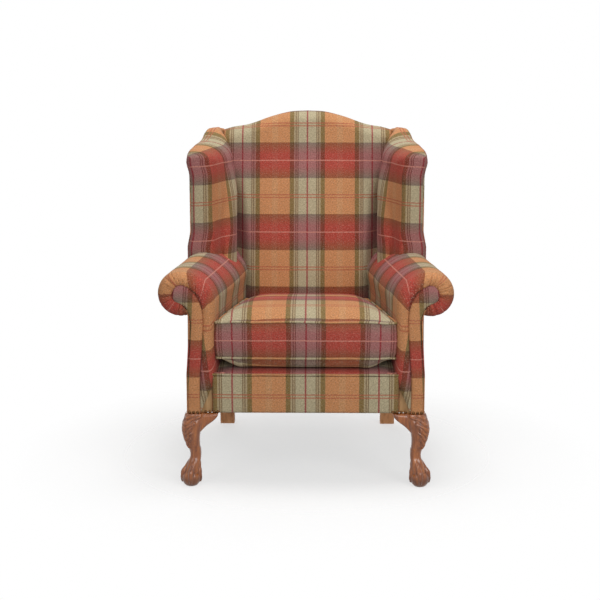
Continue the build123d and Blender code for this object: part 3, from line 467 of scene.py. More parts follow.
def cord_piece(name, path, normals, node, body="chair", closed=False, straight=None):
    """Piping: cloth over a cord along a path, cut on the cross, or straight from the given stripe on."""
    path = np.asarray(path, float)
    if closed:
        path = np.vstack([path, path[:1]])
        normals = np.vstack([normals, normals[:1]])
    along = np.gradient(path, axis=0)
    if closed:
        along[0] = along[-1] = path[1] - path[-2]
    along = unit(along)
    out = unit(normals - along * np.sum(normals * along, axis=1, keepdims=True))
    side = np.cross(along, out)
    run = lengths(path)
    turns = np.linspace(0, 2 * pi, 13)
    swell = 1 + 0.05 * np.sin(run * 2 * pi / 0.011) + 0.04 * np.sin(run * 2 * pi / 0.037)
    ring = [path + CORD * swell[:, None] * (out * cos(t) + side * sin(t)) for t in turns]
    points = np.stack(ring, axis=1)
    points[..., 1] -= FRONT
    run, width = run[:, None], turns[None] * CORD
    if straight is None:
        uv = stack(run + width, run - width) * sqrt(0.5)
    else:
        uv = stack(straight + run, WEFT_REPEAT * 0.36 + width)
    grid_piece(name, points, uv, wrap=True, material=CLOTH, slot="piping_cloth", replaces=[node], body=body)


# ---- Inside back


def camel(x):
    """Height of the back's top line at a distance from the middle."""
    keys = [(0, 1.058), (0.054, 1.055), (0.099, 1.045), (0.135, 1.034), (0.163, 1.0235), (0.195, 1.0135)]
    return through(keys + [(0.249, 1.0040), (0.273, 0.9970), (0.3, 0.990)], np.abs(x))[..., 0]


def inside_back():
    """Padded face, rolled over the camel top to its rear edge, tucked in behind the wings."""
    side, t = np.linspace(-1, 1, 91), np.linspace(0, 1, 150)[:, None]
    low, roll = 0.345, 0.040  # foot of the cover, radius of its roll
    split, bend = 0.86, 0.62  # where the roll begins, and the share of it that turns over
    top = camel(side * CAMEL_HALF)
    z_face = top - roll
    face, rear = back_face(z_face), post_rear(top)
    turn = np.clip((t - split) / (1 - split), 0, 1)
    over = np.minimum(turn / bend, 1.0) * pi / 2
    flat = np.clip((turn - bend) / (1 - bend), 0, 1)
    z = np.where(turn > 0, z_face + roll * np.sin(over), low + (z_face - low) * t / split)
    back = (rear - face) * (bend * (1 - np.cos(over)) + (1 - bend) * flat)
    depth = np.where(turn > 0, face + back, back_face(z))
    z = np.where(turn > bend, top - 0.004 * flat**2, z)
    x = side * np.minimum(back_half(np.minimum(z, CAMEL_END)), CAMEL_HALF)
    edge = smooth((np.abs(side) - 0.77) / 0.23) ** 1.2
    upper = smooth((top - 0.10 - z) / 0.15)
    puff = 0.016 * (1 - np.abs(side) ** 3) * np.exp(-(((z - 0.60) / 0.22) ** 2))
    puff = puff + 0.007 * (1 - side**4) * upper
    ripple = 0.0008 * wander(x, z, 2.0, 0.12) * upper
    tuck = 0.043 * edge * upper
    points = stack(x, depth + (tuck - puff - ripple) * (turn <= 0), z)
    mid = points[:, len(side) // 2]
    run = lengths(mid)
    rising = int(len(t) * 0.8)
    start = np.interp(BACK_PINK, mid[:rising, 2], run[:rising])
    lift = points[..., 2] - mid[:, None, 2]
    uv = stack(points[..., 0], (run - start)[:, None] * 0.985 + lift)
    cover("back_cover", "inside_back", points, uv, 0.004)
    normals = np.tile([0.0, 0.25, 1.0], (len(side), 1))
    cord_piece("back_cord", points[-1] + np.array([0.0, FRONT + 0.0022, -0.0005]), normals, "back_piping")


def outside_back():
    """The flat panel behind the frame, drawn tight from the rails to the camel top."""
    a = np.linspace(-1, 1, 61)
    t = np.linspace(0, 1, 90)
    half = SIDE_REAR + 0.004
    x = a * half
    shoulder = np.interp(np.abs(x), [0.2725, 0.282, 0.3], [0.0, 1.0, 1.0])
    top = camel(np.clip(x, -CAMEL_HALF, CAMEL_HALF)) - 0.006
    top = top * (1 - shoulder) + wing_top(0.71) * shoulder
    z = LEG_TOP + (top[None] - LEG_TOP) * t[:, None]
    sag = 0.0025 * np.sin(pi * t)[:, None] * (1 - a[None] ** 2)
    edge = 0.003 * smooth((np.abs(a) - 0.96) / 0.04)
    points = stack(x, post_rear(z) + PANEL - sag - edge[None], z)
    points[..., 1] += 0.0004 * wander(points[..., 0], z, 5.0, 0.2)
    uv = stack(points[..., 0], z - BACK_PINK)
    cover("outside_back_cover", "outside_back", points, uv, 0.003, flip=True)


# ---- Arms


def roll_at(depth):
    """The scroll's radius and its overhang."""
    share = np.minimum(depth, FRAME_DEPTH) / FRAME_DEPTH
    radius = ROLL_FRONT + (ROLL_REAR - ROLL_FRONT) * share
    return radius, OVERHANG_FRONT + (OVERHANG_REAR - OVERHANG_FRONT) * share


# Where the cover meets the facing: the station round the arm, x and z.
# Station 0 is the inner foot, 1 the shoulder, 2 the crown and 3 under the roll.
SEAM = [
    (0.0, 0.3030, 0.2165), (0.27, 0.3025, 0.300), (0.55, 0.2970, 0.390), (0.82, 0.2920, 0.470),
    (1.0, 0.2920, 0.503), (1.35, 0.2965, 0.530), (1.7, 0.3085, 0.559), (1.86, 0.3250, 0.579),
    (2.0, 0.3460, 0.5915), (2.2, 0.3680, 0.5875), (2.44, 0.3795, 0.5660), (2.66, 0.3735, 0.5450),
    (2.86, 0.3540, 0.5350), (3.0, 0.3345, 0.5150),
]


def arm_section(depth, station):
    """Points (x, z) round the arm at one depth."""
    radius, over = roll_at(depth)
    outer = side_plane(depth)
    cx, cz = outer + over, ARM_TOP - radius
    foot = LEG_TOP + (0.320 - LEG_TOP) * smooth((depth - STRIP_DEPTH) / 0.012)
    z = foot + (SHOULDER - foot) * np.clip(station, 0, 1)
    inner = seat_side(depth)
    strip = (1 - smooth((z - 0.330) / 0.014)) * (1 - smooth((depth - STRIP_DEPTH) / 0.006))
    inner = inner + (BORDER_HALF + 0.0006 - inner) * strip
    turn = np.clip(station - 1, 0, 1) * pi / 2
    x = np.where(station > 1, cx - (cx - inner) * np.cos(turn), inner)
    z = np.where(station > 1, SHOULDER + (ARM_TOP - SHOULDER) * np.sin(turn), z)
    belly = 0.009 * np.exp(-(((z - 0.548) / 0.036) ** 2)) * smooth((depth - 0.05) / 0.25)
    x = x - belly * (station < 2)
    last = pi / 2 - (pi + pi / 2 - np.arccos(over / radius)) * np.clip(station - 2, 0, 1) * 1.02
    x = np.where(station > 2, cx + radius * np.cos(last), x)
    under = np.where(last < 0, ROLL_SQUASH, 1.0)
    z = np.where(station > 2, cz + radius * under * np.sin(last), z)
    return stack(x, z)


def pleats(station, run, seed):
    """Gathers where the cover is drawn in to the scroll: creases that die away from the seam."""
    cycle = station * 13 + 0.35 * np.sin(station * 9.1 + seed) + 0.2 * np.sin(station * 23 + seed * 2)
    number = np.round(cycle)
    crease = np.exp(-(((cycle - number) / 0.16) ** 2))
    strength = 0.5 + 0.5 * np.sin(number * 2.3 + seed) ** 2
    reach = 0.026 + 0.014 * np.sin(number * 1.3 + seed * 3)
    where = smooth((station - 1.05) / 0.2) * (1 - smooth((station - 2.90) / 0.06))
    fade = np.exp(-((run / reach) ** 2)) * smooth(run / 0.003)
    inner = 1 + 0.8 * (1 - smooth((station - 1.55) / 0.3))
    return 0.0084 * (0.28 - crease) * where * strength * inner * fade


def arm_cover(side):
    """The stuffed arm: pleated in to its scroll front, rolled over and drawn back to the wing."""
    station = [np.linspace(0, 1, 40)[:-1], np.linspace(1, 2, 150)[:-1], np.linspace(2, 3, 180)]
    station = np.concatenate(station)
    across = np.linspace(0, 1, 26)
    seam = through(SEAM, station)
    edge = arm_section(ARM_ROUND, station)
    seed = 1.0 if side == "_left" else 4.0
    low = smooth((0.250 - seam[:, 1]) / 0.03)
    last = smooth((station - 2.80) / 0.18)
    rows = []
    for s in across:
        gap = edge - seam
        plan = bezier(seam, seam + gap * 0.12, edge + gap * 0.04, edge, s)
        first = -0.0125 + 0.0135 * low + 0.0205 * last
        second = -0.0070 + 0.0080 * low + 0.0170 * last
        depth = bezier(0.004, first, second, ARM_ROUND, s)
        rows.append(stack(plan[:, 0], depth, plan[:, 1]))
    for depth in np.concatenate([np.linspace(ARM_ROUND, 0.09, 12)[1:], np.linspace(0.09, 0.660, 56)[1:]]):
        ring = arm_section(depth, station)
        end = post_rear(ring[:, 1]) + 0.003 - 0.008 * (1 - smooth((station - 1.0) / 0.3))
        rows.append(stack(ring[:, 0], np.minimum(depth, end), ring[:, 1]))
    eye = np.array([0.318, 0.0, 0.545])
    ring = rows[-1]
    for share in (0.03, 0.12, 0.5, 0.97):  # the rear of the roll is closed round its eye
        cap = ring + (eye - ring) * np.array([1.0, 0.0, 1.0]) * share
        cap[:, 1] = post_rear(cap[:, 2]) + 0.003 + 0.002 * min(share * 8, 1)
        cap = np.where((station > 1.0)[:, None], cap, ring)
        rows.append(cap)
    points = np.array(rows)
    run = lengths(points)
    normal = np.cross(np.gradient(points, axis=0), np.gradient(points, axis=1))
    normal = normal / np.maximum(np.linalg.norm(normal, axis=-1, keepdims=True), 1e-9)
    middle = np.array([0.33, 0.3, 0.52])
    if np.sum(normal[40, 190] * (points[40, 190] - middle)) < 0:
        normal = -normal
    lift = pleats(station[None], run, seed)
    waves = wander(points[..., 1] * 0.6, station[None] * 0.12, seed, 0.10)
    lift = lift + 0.0010 * waves * smooth(run / 0.06)
    drag = smooth((points[..., 1] - 0.22) / 0.2) * smooth((station[None] - 0.8) / 0.4)
    lift = lift + 0.0009 * drag * np.sin(points[..., 1] * 95 + station[None] * 9 + seed)
    lift[-4:] = 0.0
    points = points + normal * lift[..., None]
    front = arm_section(0.05, station)
    around = lengths(front)
    pink = np.interp(1.5, station, around)
    u = (run - run[25]) * np.where(run < run[25], 0.80, 1.0) - ARM_LINE
    v = around - pink
    share = np.concatenate([across, np.full(len(rows) - len(across), 1.0)])[:, None]
    height = points[..., 2]
    upright = 1 - smooth((share - 0.45) / 0.55) * smooth((height - 0.30) / 0.05)
    upright = upright * (1 - smooth((station[None] - 0.9) / 0.35))
    upright = upright * (1 - smooth((points[..., 1] - 0.07) / 0.02))
    strip_u = 0.109 * (height - 0.25) + 0.1141 - points[..., 0] + 0.15 * np.maximum(points[..., 1], 0)
    strip_v = np.interp(height, [0.2165, 0.342, 0.460, 0.535, 0.6], [-0.1255, 0, 0.1115, 0.1582, 0.22])
    strip_v = strip_v - WEFT_REPEAT
    uv = stack(u + (strip_u - u) * upright, v + (strip_v - v) * upright)
    cover("arm_cover", "arm_pad", points, uv, 0.003, side, flip=True)


FACING_INNER = [
    (0.0, 0.3030, 0.2165), (0.35, 0.3015, 0.330), (0.60, 0.2935, 0.440), (0.75, 0.2920, 0.503),
    (0.82, 0.2965, 0.530), (0.88, 0.3085, 0.559), (0.92, 0.3250, 0.579), (0.95, 0.3460, 0.5915),
    (0.98, 0.3680, 0.5875), (1.0, 0.3790, 0.5700),
]
FACING_OUTER = [
    (0.0, 0.3390, 0.2165), (0.35, 0.3388, 0.332), (0.60, 0.3308, 0.437), (0.75, 0.3295, 0.490),
    (0.82, 0.3340, 0.510), (0.88, 0.3420, 0.5260), (0.92, 0.3540, 0.5350), (0.96, 0.3700, 0.5420),
    (0.985, 0.3775, 0.5530), (1.0, 0.3795, 0.5660),
]


def facing(side):
    """The padded panel down the front of the arm, with its scroll eye."""
    along = np.concatenate([np.linspace(0, 0.75, 60)[:-1], np.linspace(0.75, 1.0, 50)])
    across = np.linspace(0, 1, 25)
    inner, outer = through(FACING_INNER, along), through(FACING_OUTER, along)
    plan = outer[:, None] + (inner - outer)[:, None] * across[None, :, None]
    rim = np.minimum(across, 1 - across)
    round_edge = 1 - np.sqrt(np.clip(1 - (1 - np.minimum(rim / 0.16, 1)) ** 2, 0, 1))
    foot = smooth((plan[..., 1] - 0.235) / 0.04)
    puff = 0.0040 * np.sin(pi * across)[None] * foot
    tip = smooth((along - 0.985) / 0.015)[:, None]
    depth = -0.0080 - puff * (1 - tip) + 0.009 * round_edge[None] + 0.006 * tip
    depth = depth + 0.0005 * wander(plan[..., 0], plan[..., 1], 3.0, 0.05) * foot
    points = stack(plan[..., 0], depth, plan[..., 1])
    shear = 0.058 * (plan[..., 1] - 0.560)
    uv = stack(FACING_LINE - plan[..., 0] - shear, (plan[..., 1] - FACING_PINK) * FACING_STRETCH)
    cover("facing_cover", "arm_facing", points, uv, 0.003, side, flip=True)


def turn_in(x, d, z, rear, uv, steps, bulge):
    """Carries a side panel round the rear corner, in behind the frame."""
    turn = np.linspace(0, 1, steps + 1)[1:]
    turned = x[:, -1:] + (SIDE_REAR - 0.006 - x[:, -1:]) * turn
    corner = stack(turned, rear[:, -1:] + bulge * np.sin(pi * turn), z[:, -1:])
    way = stack(x[:, -1:] - turned, 0.0)
    return np.hstack([stack(x, d, z), corner]), np.hstack([uv, uv[:, -1:] + way])


def outside_arm(side):
    """The flat panel under the roll."""
    depth = np.concatenate([np.linspace(-0.004, FRAME_DEPTH, 70)[:-1], np.linspace(FRAME_DEPTH, 0.70, 14)])
    t = np.linspace(0, 1, 40)
    radius, over = roll_at(np.maximum(depth, 0))
    top = ARM_TOP - radius - ROLL_SQUASH * np.sqrt(radius**2 - (over - PANEL) ** 2) + 0.004
    z = LEG_TOP + (top[None] - LEG_TOP) * t[:, None]
    rear = post_rear(z) + PANEL_STAND
    d = np.minimum(depth, rear)
    under_roll = smooth((z - 0.36) / 0.06) * smooth((0.30 - d) / 0.2)
    x = side_plane(np.maximum(d, 0)) + PANEL - 0.0024 * under_roll
    x = x - 0.0012 * np.sin(pi * t)[:, None] * np.sin(pi * np.clip(d / 0.6, 0, 1))
    x = x + 0.0004 * wander(d, z, 7.0, 0.16)
    outer = np.array(sorted((row[2], row[1]) for row in FACING_OUTER[:5]))
    brow = np.interp(z, outer[:, 0], outer[:, 1])
    x = brow + (x - brow) * smooth((d + 0.004) / 0.018)
    uv = stack(d - SIDE_LINE, (z - FACING_PINK) * FACING_STRETCH)
    points, uv = turn_in(x, d, z, rear, uv, 5, 0.001)
    cover("outside_arm_cover", "outside_arm", points, uv, 0.003, side, flip=True)


# ---- Wings


WING_CORNER = 0.016
WING_HANG = 0.70  # height from which the tartan's bands are measured along the cover
WING_FOOT = 0.585  # lower edge of the outside panel, behind the arm


def wing_top(depth):
    """Height of the wing's outer top edge."""
    keys = [(0.36, 0.912), (0.382, 0.925), (0.408, 0.9405), (0.435, 0.9475), (0.467, 0.9550), (0.515, 0.9630)]
    keys += [(0.548, 0.9720), (0.571, 0.9860), (0.60, 0.9970), (0.65, 1.0), (0.71, 0.999), (0.78, 0.998)]
    return through(keys, depth)[..., 0]


def wing_rim(depth):
    """Height of the wing's outer edge: its top, rounded down at the front corner."""
    back = np.clip(WING_DEPTH + WING_CORNER - depth, 0, WING_CORNER)
    return wing_top(depth) - WING_CORNER + np.sqrt(WING_CORNER**2 - back**2)


def wing_face(z, share):
    """A point (x, depth) across the wing's inner face at a height, and its distance from the front edge."""
    face = back_face(z)
    lean = 0.040 * np.clip((z - 0.80) / 0.20, 0, 1) ** 1.5
    crest_x, crest = 0.2275 + lean, face - 0.080
    draw = waist(z)
    foot = 0.010 * smooth((0.755 - z) / 0.11)
    keys = [
        (0.0, WING_FRONT - draw, WING_DEPTH + 0.003),
        (0.04, 0.3600 - draw, 0.3712),
        (0.10, 0.3450 - draw, 0.3668),
        (0.20, 0.3180 - draw - foot, 0.3672),
        (0.27, 0.3020 - draw * 0.5 - foot, 0.3740),
        (0.36, 0.2880 + lean * 0.15 - foot * 0.5, 0.3960),
        (0.50, 0.2690 + lean * 0.35, 0.4340),
        (0.60, 0.2535 + lean * 0.60, crest - 0.040),
        (0.67, 0.2385 + lean * 0.85, crest - 0.024),
        (0.75, crest_x, crest),
        (0.82, crest_x + 0.0015, crest + 0.026),
        (0.89, crest_x + 0.0080, crest + 0.052),
        (0.95, (crest_x + back_half(z)) / 2 + 0.008, face + 0.004),
        (1.0, back_half(z) + 0.012, face + 0.034),
    ]
    fine = through(keys, np.linspace(0, 1, 160))
    run = lengths(fine)
    total = run[-1]
    at = share * total
    x = np.interp(at, run, fine[:, 0])
    depth = np.interp(at, run, fine[:, 1])
    return x, depth, at


def wing_cover(side):
    """The stuffed wing: rolled front edge, hollow and swelling inner face, top rolled out to the piping."""
    share = np.linspace(0, 1, 84)
    low, up = np.linspace(0, 1, 66), np.linspace(0, 1, 40)[1:]
    edge_depth = WING_DEPTH + (REAR_EDGE - 0.008 - WING_DEPTH) * (0.25 * share + 0.75 * share**2.6)
    edge_x = wing_plane(edge_depth)
    edge_z = wing_rim(edge_depth)
    base = 0.590 - 0.060 * smooth((share - 0.45) / 0.2)
    drop = 0.004 + 0.062 * smooth(share / 0.55)
    top_z = edge_z - drop - 0.035 * smooth((share - 0.8) / 0.2)
    points = np.zeros((len(low) + len(up), len(share), 3))
    uv = np.zeros(points.shape[:2] + (2,))
    for j, f in enumerate(share):
        height = base[j] + (top_z[j] - base[j]) * low
        column = []
        for z in height:
            x, depth, run = wing_face(z, f)
            column.append((x, depth, z, run))
        start, end = np.array([x, depth, z]), np.array([edge_x[j], edge_depth[j], edge_z[j]])
        reach = hypot(end[0] - x, end[1] - depth)
        first = start + np.array([0.0, 0.0, (end[2] - z) * 0.75 + reach * 0.10])
        second = end + (start - end) * np.array([0.45, 0.45, 0.0])
        second[2] += 0.002 + reach * 0.02
        column = np.array(column + [(*bezier(start, first, second, end, t), run) for t in up])
        points[:, j], across = column[:, :3], column[:, 3]
        path = lengths(points[:, j])
        level = np.interp(WING_HANG, height, path[: len(low)])
        uv[:, j] = stack(across - WING_LINE, path - level + WING_HANG - WING_PINK - 0.05 * across)
    seed = 2.0 if side == "_left" else 6.0
    wave = 0.0008 * wander(points[..., 1], points[..., 2], seed, 0.09)
    points[..., 0] -= wave * np.sin(pi * share)[None]
    behind = np.repeat(points[:, -1:], 3, axis=1)
    way = np.maximum(post_rear(behind[..., 2]) - behind[..., 1], 0) * np.array([0.35, 0.7, 1.0])
    behind[..., 1] += way
    points = np.hstack([points, behind])  # a strip that closes the gap to the outside back
    uv = np.hstack([uv, uv[:, -1:] + stack(way, 0.0)])
    cover("wing_cover", "wing_pad", points, uv, 0.003, side)


def wing_edge_path(inset):
    """The wing's outer edge in (x, depth, z): up its front and back along its top."""
    rise = np.linspace(0.600, float(wing_rim(WING_DEPTH)) - inset, 60)
    front = [(WING_FRONT - waist(z), WING_DEPTH + inset, z) for z in rise]
    bend = WING_CORNER * (1 - np.cos(np.linspace(0, pi / 2, 10)[1:-1]))
    depth = WING_DEPTH + np.concatenate([bend, np.linspace(WING_CORNER, REAR_EDGE - 0.010 - WING_DEPTH, 60)])
    back = [(wing_plane(d) - waist(z), d + inset, z - inset) for d, z in zip(depth, wing_rim(depth))]
    return np.array(front + back)


def wing_cord(side):
    sign = -1.0 if side == "_left" else 1.0
    path = (wing_edge_path(0.0012) + np.array([0.0012, FRONT, 0.0])) * np.array([sign, 1.0, 1.0])
    cord_piece("wing_cord" + side, path, np.tile([sign, -0.3, 0.4], (len(path), 1)), "wing_piping" + side)


def outside_wing(side):
    """The flat panel outside the wing, from the arm to the piping, turned in at the back."""
    share = np.linspace(0, 1, 60)
    t = np.linspace(0, 1, 46)
    depth = WING_DEPTH + 0.001 + (REAR_EDGE + 0.012 - WING_DEPTH) * share
    top = wing_rim(depth) - 0.0015
    z = WING_FOOT + (top[None] - WING_FOOT) * t[:, None]
    rear = post_rear(z) + PANEL_STAND
    d = np.minimum(depth, rear)
    x = wing_plane(d) + 0.0020 - 0.0010 * np.sin(pi * t)[:, None] * np.sin(pi * share)[None]
    x = x - waist(z) * np.exp(-(((d - WING_DEPTH) / 0.035) ** 2))
    uv = stack(d - SIDE_LINE, z - WING_PINK)
    points, uv = turn_in(x, d, z, rear, uv, 7, 0.002)
    cover("outside_wing_cover", "outside_wing", points, uv, 0.002, side, flip=True)


# ---- Seat


def border():
    """The padded front border, drawn round its edges."""
    a, t = np.linspace(-1, 1, 101), np.linspace(0, 1, 34)
    rim_x = 1 - np.clip((1 - np.abs(a)) / 0.03, 0, 1)
    z = LEG_TOP + (BORDER_TOP - LEG_TOP) * t
    rim_z = np.maximum(1 - t / 0.06, 0) + np.maximum(1 - (1 - t) / 0.05, 0)
    puff = 0.0026 * (1 - a[None] ** 6) * np.sin(pi * t)[:, None] ** 0.6
    depth = 0.0005 - puff + 0.010 * (1 - np.sqrt(1 - rim_x[None] ** 2))
    depth = depth + 0.006 * (1 - np.sqrt(1 - rim_z[:, None] ** 2))
    x = a * BORDER_HALF
    depth = depth + 0.0004 * wander(x[None], z[:, None], 9.0, 0.12) * np.sin(pi * t)[:, None]
    points = stack(x, depth, z[:, None])
    uv = stack(x, points[..., 2] - BORDER_DOUBLE + WEFT_REPEAT / 2)
    cover("border_cover", "seat_border", points, uv, 0.004)
    inset = 0.003  # of the piping, from the border's ends, front and top
    x = np.linspace(inset - BORDER_HALF, BORDER_HALF - inset, 120)
    path = stack(x, FRONT + inset, BORDER_TOP + inset + 0.0006 * np.sin(x * 41))
    cord_piece("border_cord", path, np.tile([0.0, -1.0, 0.3], (len(x), 1)), "border_piping", straight=x[0])


def platform():
    """The padded platform under the cushion, rounded down to the border."""
    nose = [
        (0.0, 0.0062, 0.3310), (0.10, 0.0068, 0.3345), (0.22, 0.0130, 0.3380), (0.42, 0.0320, 0.3410),
        (0.60, 0.0560, 0.3430), (0.72, 0.1050, 0.3465), (0.84, 0.2350, 0.3530), (1.0, 0.5220, 0.3533),
    ]
    profile = through(nose, np.linspace(0, 1, 80))
    a = np.linspace(-1, 1, 101)
    half = seat_side(profile[:, 0]) - 0.0008
    x = half[:, None] * a[None]
    depth = profile[:, :1]
    fall = 0.011 * (1 - smooth((half[:, None] - np.abs(x)) / 0.045)) * (1 - smooth(depth / 0.12))
    z = np.maximum(profile[:, 1:] - fall, 0.3305)
    uv = stack(x, lengths(profile)[:, None])
    cover("platform_cover", "seat_deck", stack(x, depth, z), uv, 0.006, slot="platform_cloth")


# ---- Seat cushion

CUSHION_LOW, CUSHION_HIGH = 0.3829, 0.4889
CUSHION_FRONT, CUSHION_REAR = 0.004, 0.513
CUSHION_HALF_FRONT, CUSHION_HALF_REAR = 0.2586, 0.1990
CUSHION_CORNER = 0.008
CUSHION_BOW = (-0.0085, 0.0050, 0.0040, 0.0050)  # how far the front, side, rear and side draw in
CORNER_SAG = 0.004
TOP_CROWN = 0.040
REAR_FALL = 0.060  # how fast the top of the cushion falls towards the back
UNDER = [  # how far the underside lies below the lower seam, by the distance from the front
    (0, 0), (0.002, 0.012), (0.005, 0.021), (0.010, 0.0272), (0.017, 0.0305), (0.030, 0.0320), (0.06, 0.0312),
    (0.12, 0.0290), (0.3, 0.0290),
]
DROOP = 0.0048  # how far the front edge hangs below the rear
SIDES = 60  # squares along each side of the cushion
EVEN_LEVELS = np.linspace(0, 1, 15)  # rows of the boxing, from seam to seam
EVEN = np.linspace(0, 1, SIDES + 1)
SPREAD = 0.35 * EVEN + 0.65 * (0.5 - 0.5 * np.cos(pi * EVEN))  # closer together towards the seams


def cushion_edge():
    """The seam's plan round the cushion and its sag at the corners: SIDES points to each side."""
    corners = np.array([
        (-CUSHION_HALF_FRONT, CUSHION_FRONT), (CUSHION_HALF_FRONT, CUSHION_FRONT),
        (CUSHION_HALF_REAR, CUSHION_REAR), (-CUSHION_HALF_REAR, CUSHION_REAR),
    ])
    ahead = np.roll(corners, -1, axis=0) - corners
    inward = unit(stack(-ahead[:, 1], ahead[:, 0]))
    centres = []
    for k in range(4):
        walls = np.array([inward[k - 1], inward[k]])
        centres.append(corners[k] + np.linalg.solve(walls, np.full(2, CUSHION_CORNER)))
    turn = np.linspace(0.5, 1.0, 7)
    loop = []
    for k in range(4):
        after = (k + 1) % 4
        path = [centres[k] - CUSHION_CORNER * unit(inward[k - 1] * (1 - t) + inward[k] * t) for t in turn]
        for t in 0.5 - turn[::-1]:
            path.append(centres[after] - CUSHION_CORNER * unit(inward[k] * (1 - t) + inward[after] * t))
        path = np.array(path)
        run = lengths(path)
        at = run[-1] * SPREAD[:-1]
        line = stack(np.interp(at, run, path[:, 0]), np.interp(at, run, path[:, 1]))
        share = at / run[-1]
        line += inward[k] * (CUSHION_BOW[k] * np.sin(pi * share) ** 0.8)[:, None]
        near = np.minimum(at, run[-1] - at)
        sag = np.exp(-((near / 0.045) ** 2))
        loop.append(np.column_stack([line, sag]))
    return np.vstack(loop)


def coons(edge):
    """Fills a loop of 4 * SIDES points with a grid of (SIDES + 1) squared points."""
    n = SIDES
    loop = np.vstack([edge, edge[:1]])
    bottom, right = loop[: n + 1], loop[n : 2 * n + 1]
    top, left = loop[2 * n : 3 * n + 1][::-1], loop[3 * n : 4 * n + 1][::-1]
    u, v = SPREAD[None, :, None], SPREAD[:, None, None]
    ruled = (1 - v) * bottom[None] + v * top[None] + (1 - u) * left[:, None] + u * right[:, None]
    corner = (1 - u) * (1 - v) * bottom[0] + u * (1 - v) * bottom[-1] + (1 - u) * v * top[0] + u * v * top[-1]
    return ruled - corner


def ring_order():
    """Grid indices (row, column) of the loop that coons was given."""
    n = SIDES
    order = [(0, j) for j in range(n)] + [(i, n) for i in range(n)]
    order += [(n, n - j) for j in range(n)] + [(n - i, 0) for i in range(n)]
    return order


def cushion_shape():
    """The unstuffed cover: its two panels and the boxing strip, joined at the seams."""
    edge = cushion_edge()
    plan = coons(edge)
    n = SIDES
    from_side = np.minimum(SPREAD, 1 - SPREAD)
    across = from_side[None] * (CUSHION_HALF_FRONT + CUSHION_HALF_REAR)
    along = from_side[:, None] * (CUSHION_REAR - CUSHION_FRONT)
    near = (np.maximum(across, 1e-6) ** -5 + np.maximum(along, 1e-6) ** -5) ** -0.2
    rise = 1 - (1 - np.clip(near / 0.145, 0, 1)) ** 3.2
    under = np.interp(along, [row[0] for row in UNDER], [row[1] for row in UNDER])
    under = under * smooth((across + 0.006) / 0.070)
    x, depth, sag = np.moveaxis(plan, -1, 0)
    crown = TOP_CROWN * (1 - 0.45 * smooth((depth - 0.15) / 0.30))
    top = stack(x, depth, CUSHION_HIGH + crown * rise - CORNER_SAG * sag)
    low = stack(x, depth, CUSHION_LOW - under + CORNER_SAG * 0.3 * sag * (1 - rise))
    x, depth, sag = edge.T
    along_seam = np.roll(edge, -1, axis=0) - np.roll(edge, 1, axis=0)
    out = unit(stack(along_seam[:, 1], -along_seam[:, 0]))
    level = EVEN_LEVELS[1:-1, None]
    swell = 0.0055 * np.sin(pi * level) ** 0.8
    foot, head = CUSHION_LOW + CORNER_SAG * 0.3 * sag, CUSHION_HIGH - CORNER_SAG * sag
    boxing = stack(x + out[:, 0] * swell, depth + out[:, 1] * swell, foot + (head - foot) * level)
    panels = np.stack([top, low], axis=2).reshape(-1, 3)
    x, depth, z = np.vstack([panels, boxing.reshape(-1, 3)]).T
    level = np.clip((z - CUSHION_LOW) / (CUSHION_HIGH - CUSHION_LOW), 0, 1)
    z = z - DROOP * (1 - smooth(depth / 0.24)) - REAR_FALL * depth * level
    points = stack(x, depth + FRONT, z)

    faces, uvs = [], []
    for place, flip, start, gain in ((0, False, CUSHION_HIGH, 1.06), (1, True, CUSHION_LOW, -1.0)):
        quads, _ = grid_faces(n + 1, n + 1, False, flip)
        faces.append(quads * 2 + place)
        v = start - CUSHION_PINK + (plan[..., 1] - CUSHION_FRONT) * gain
        uvs.append(stack(plan[..., 0], v).reshape(-1, 2)[quads])
    ring = np.array([i * (n + 1) + j for i, j in ring_order()]) * 2
    sides = len(panels) + np.arange(boxing.shape[0] * 4 * n).reshape(-1, 4 * n)
    wall, full = grid_faces(len(EVEN_LEVELS), 4 * n + 1, True, False)
    faces.append(np.vstack([ring + 1, sides, ring]).ravel()[wall])
    run = lengths(np.vstack([edge, edge[:1]])[:, :2])
    v = CUSHION_LOW + (CUSHION_HIGH - CUSHION_LOW) * EVEN_LEVELS - CUSHION_PINK
    uvs.append(stack(run - CUSHION_HALF_FRONT, v[:, None]).reshape(-1, 2)[full])
    return points, np.vstack(faces).tolist(), np.vstack(uvs), (ring + 1, ring)


CLOTH_SETTINGS = {
    "quality": 6, "mass": 0.3, "tension_stiffness": 22, "compression_stiffness": 22, "shear_stiffness": 8,
    "bending_stiffness": 1.2, "use_pressure": True, "shrink_min": -0.018,
}


def stuff(piece, pressure, frames, most):
    """Inflates a closed cover by cloth simulation, and keeps each point within a distance of its start."""
    start = np.array([v.co for v in piece.data.vertices])
    cloth = piece.modifiers.new("stuffing", "CLOTH")
    for key, value in CLOTH_SETTINGS.items():
        setattr(cloth.settings, key, value)
    cloth.settings.uniform_pressure_force = pressure
    cloth.settings.effector_weights.gravity = 0.0
    cloth.collision_settings.use_collision = False
    scene = bpy.context.scene
    for number in range(1, frames + 1):
        scene.frame_set(number)
    view = bpy.context.evaluated_depsgraph_get()
    moved = np.array([v.co for v in piece.evaluated_get(view).data.vertices])
    scene.frame_set(1)
    piece.modifiers.remove(cloth)
    shift = moved - start
    size = np.linalg.norm(shift, axis=1, keepdims=True)
    shift *= most * np.tanh(size / most) / np.maximum(size, 1e-9)
    piece.data.vertices.foreach_set("co", (start + shift).ravel())
    piece.data.update()


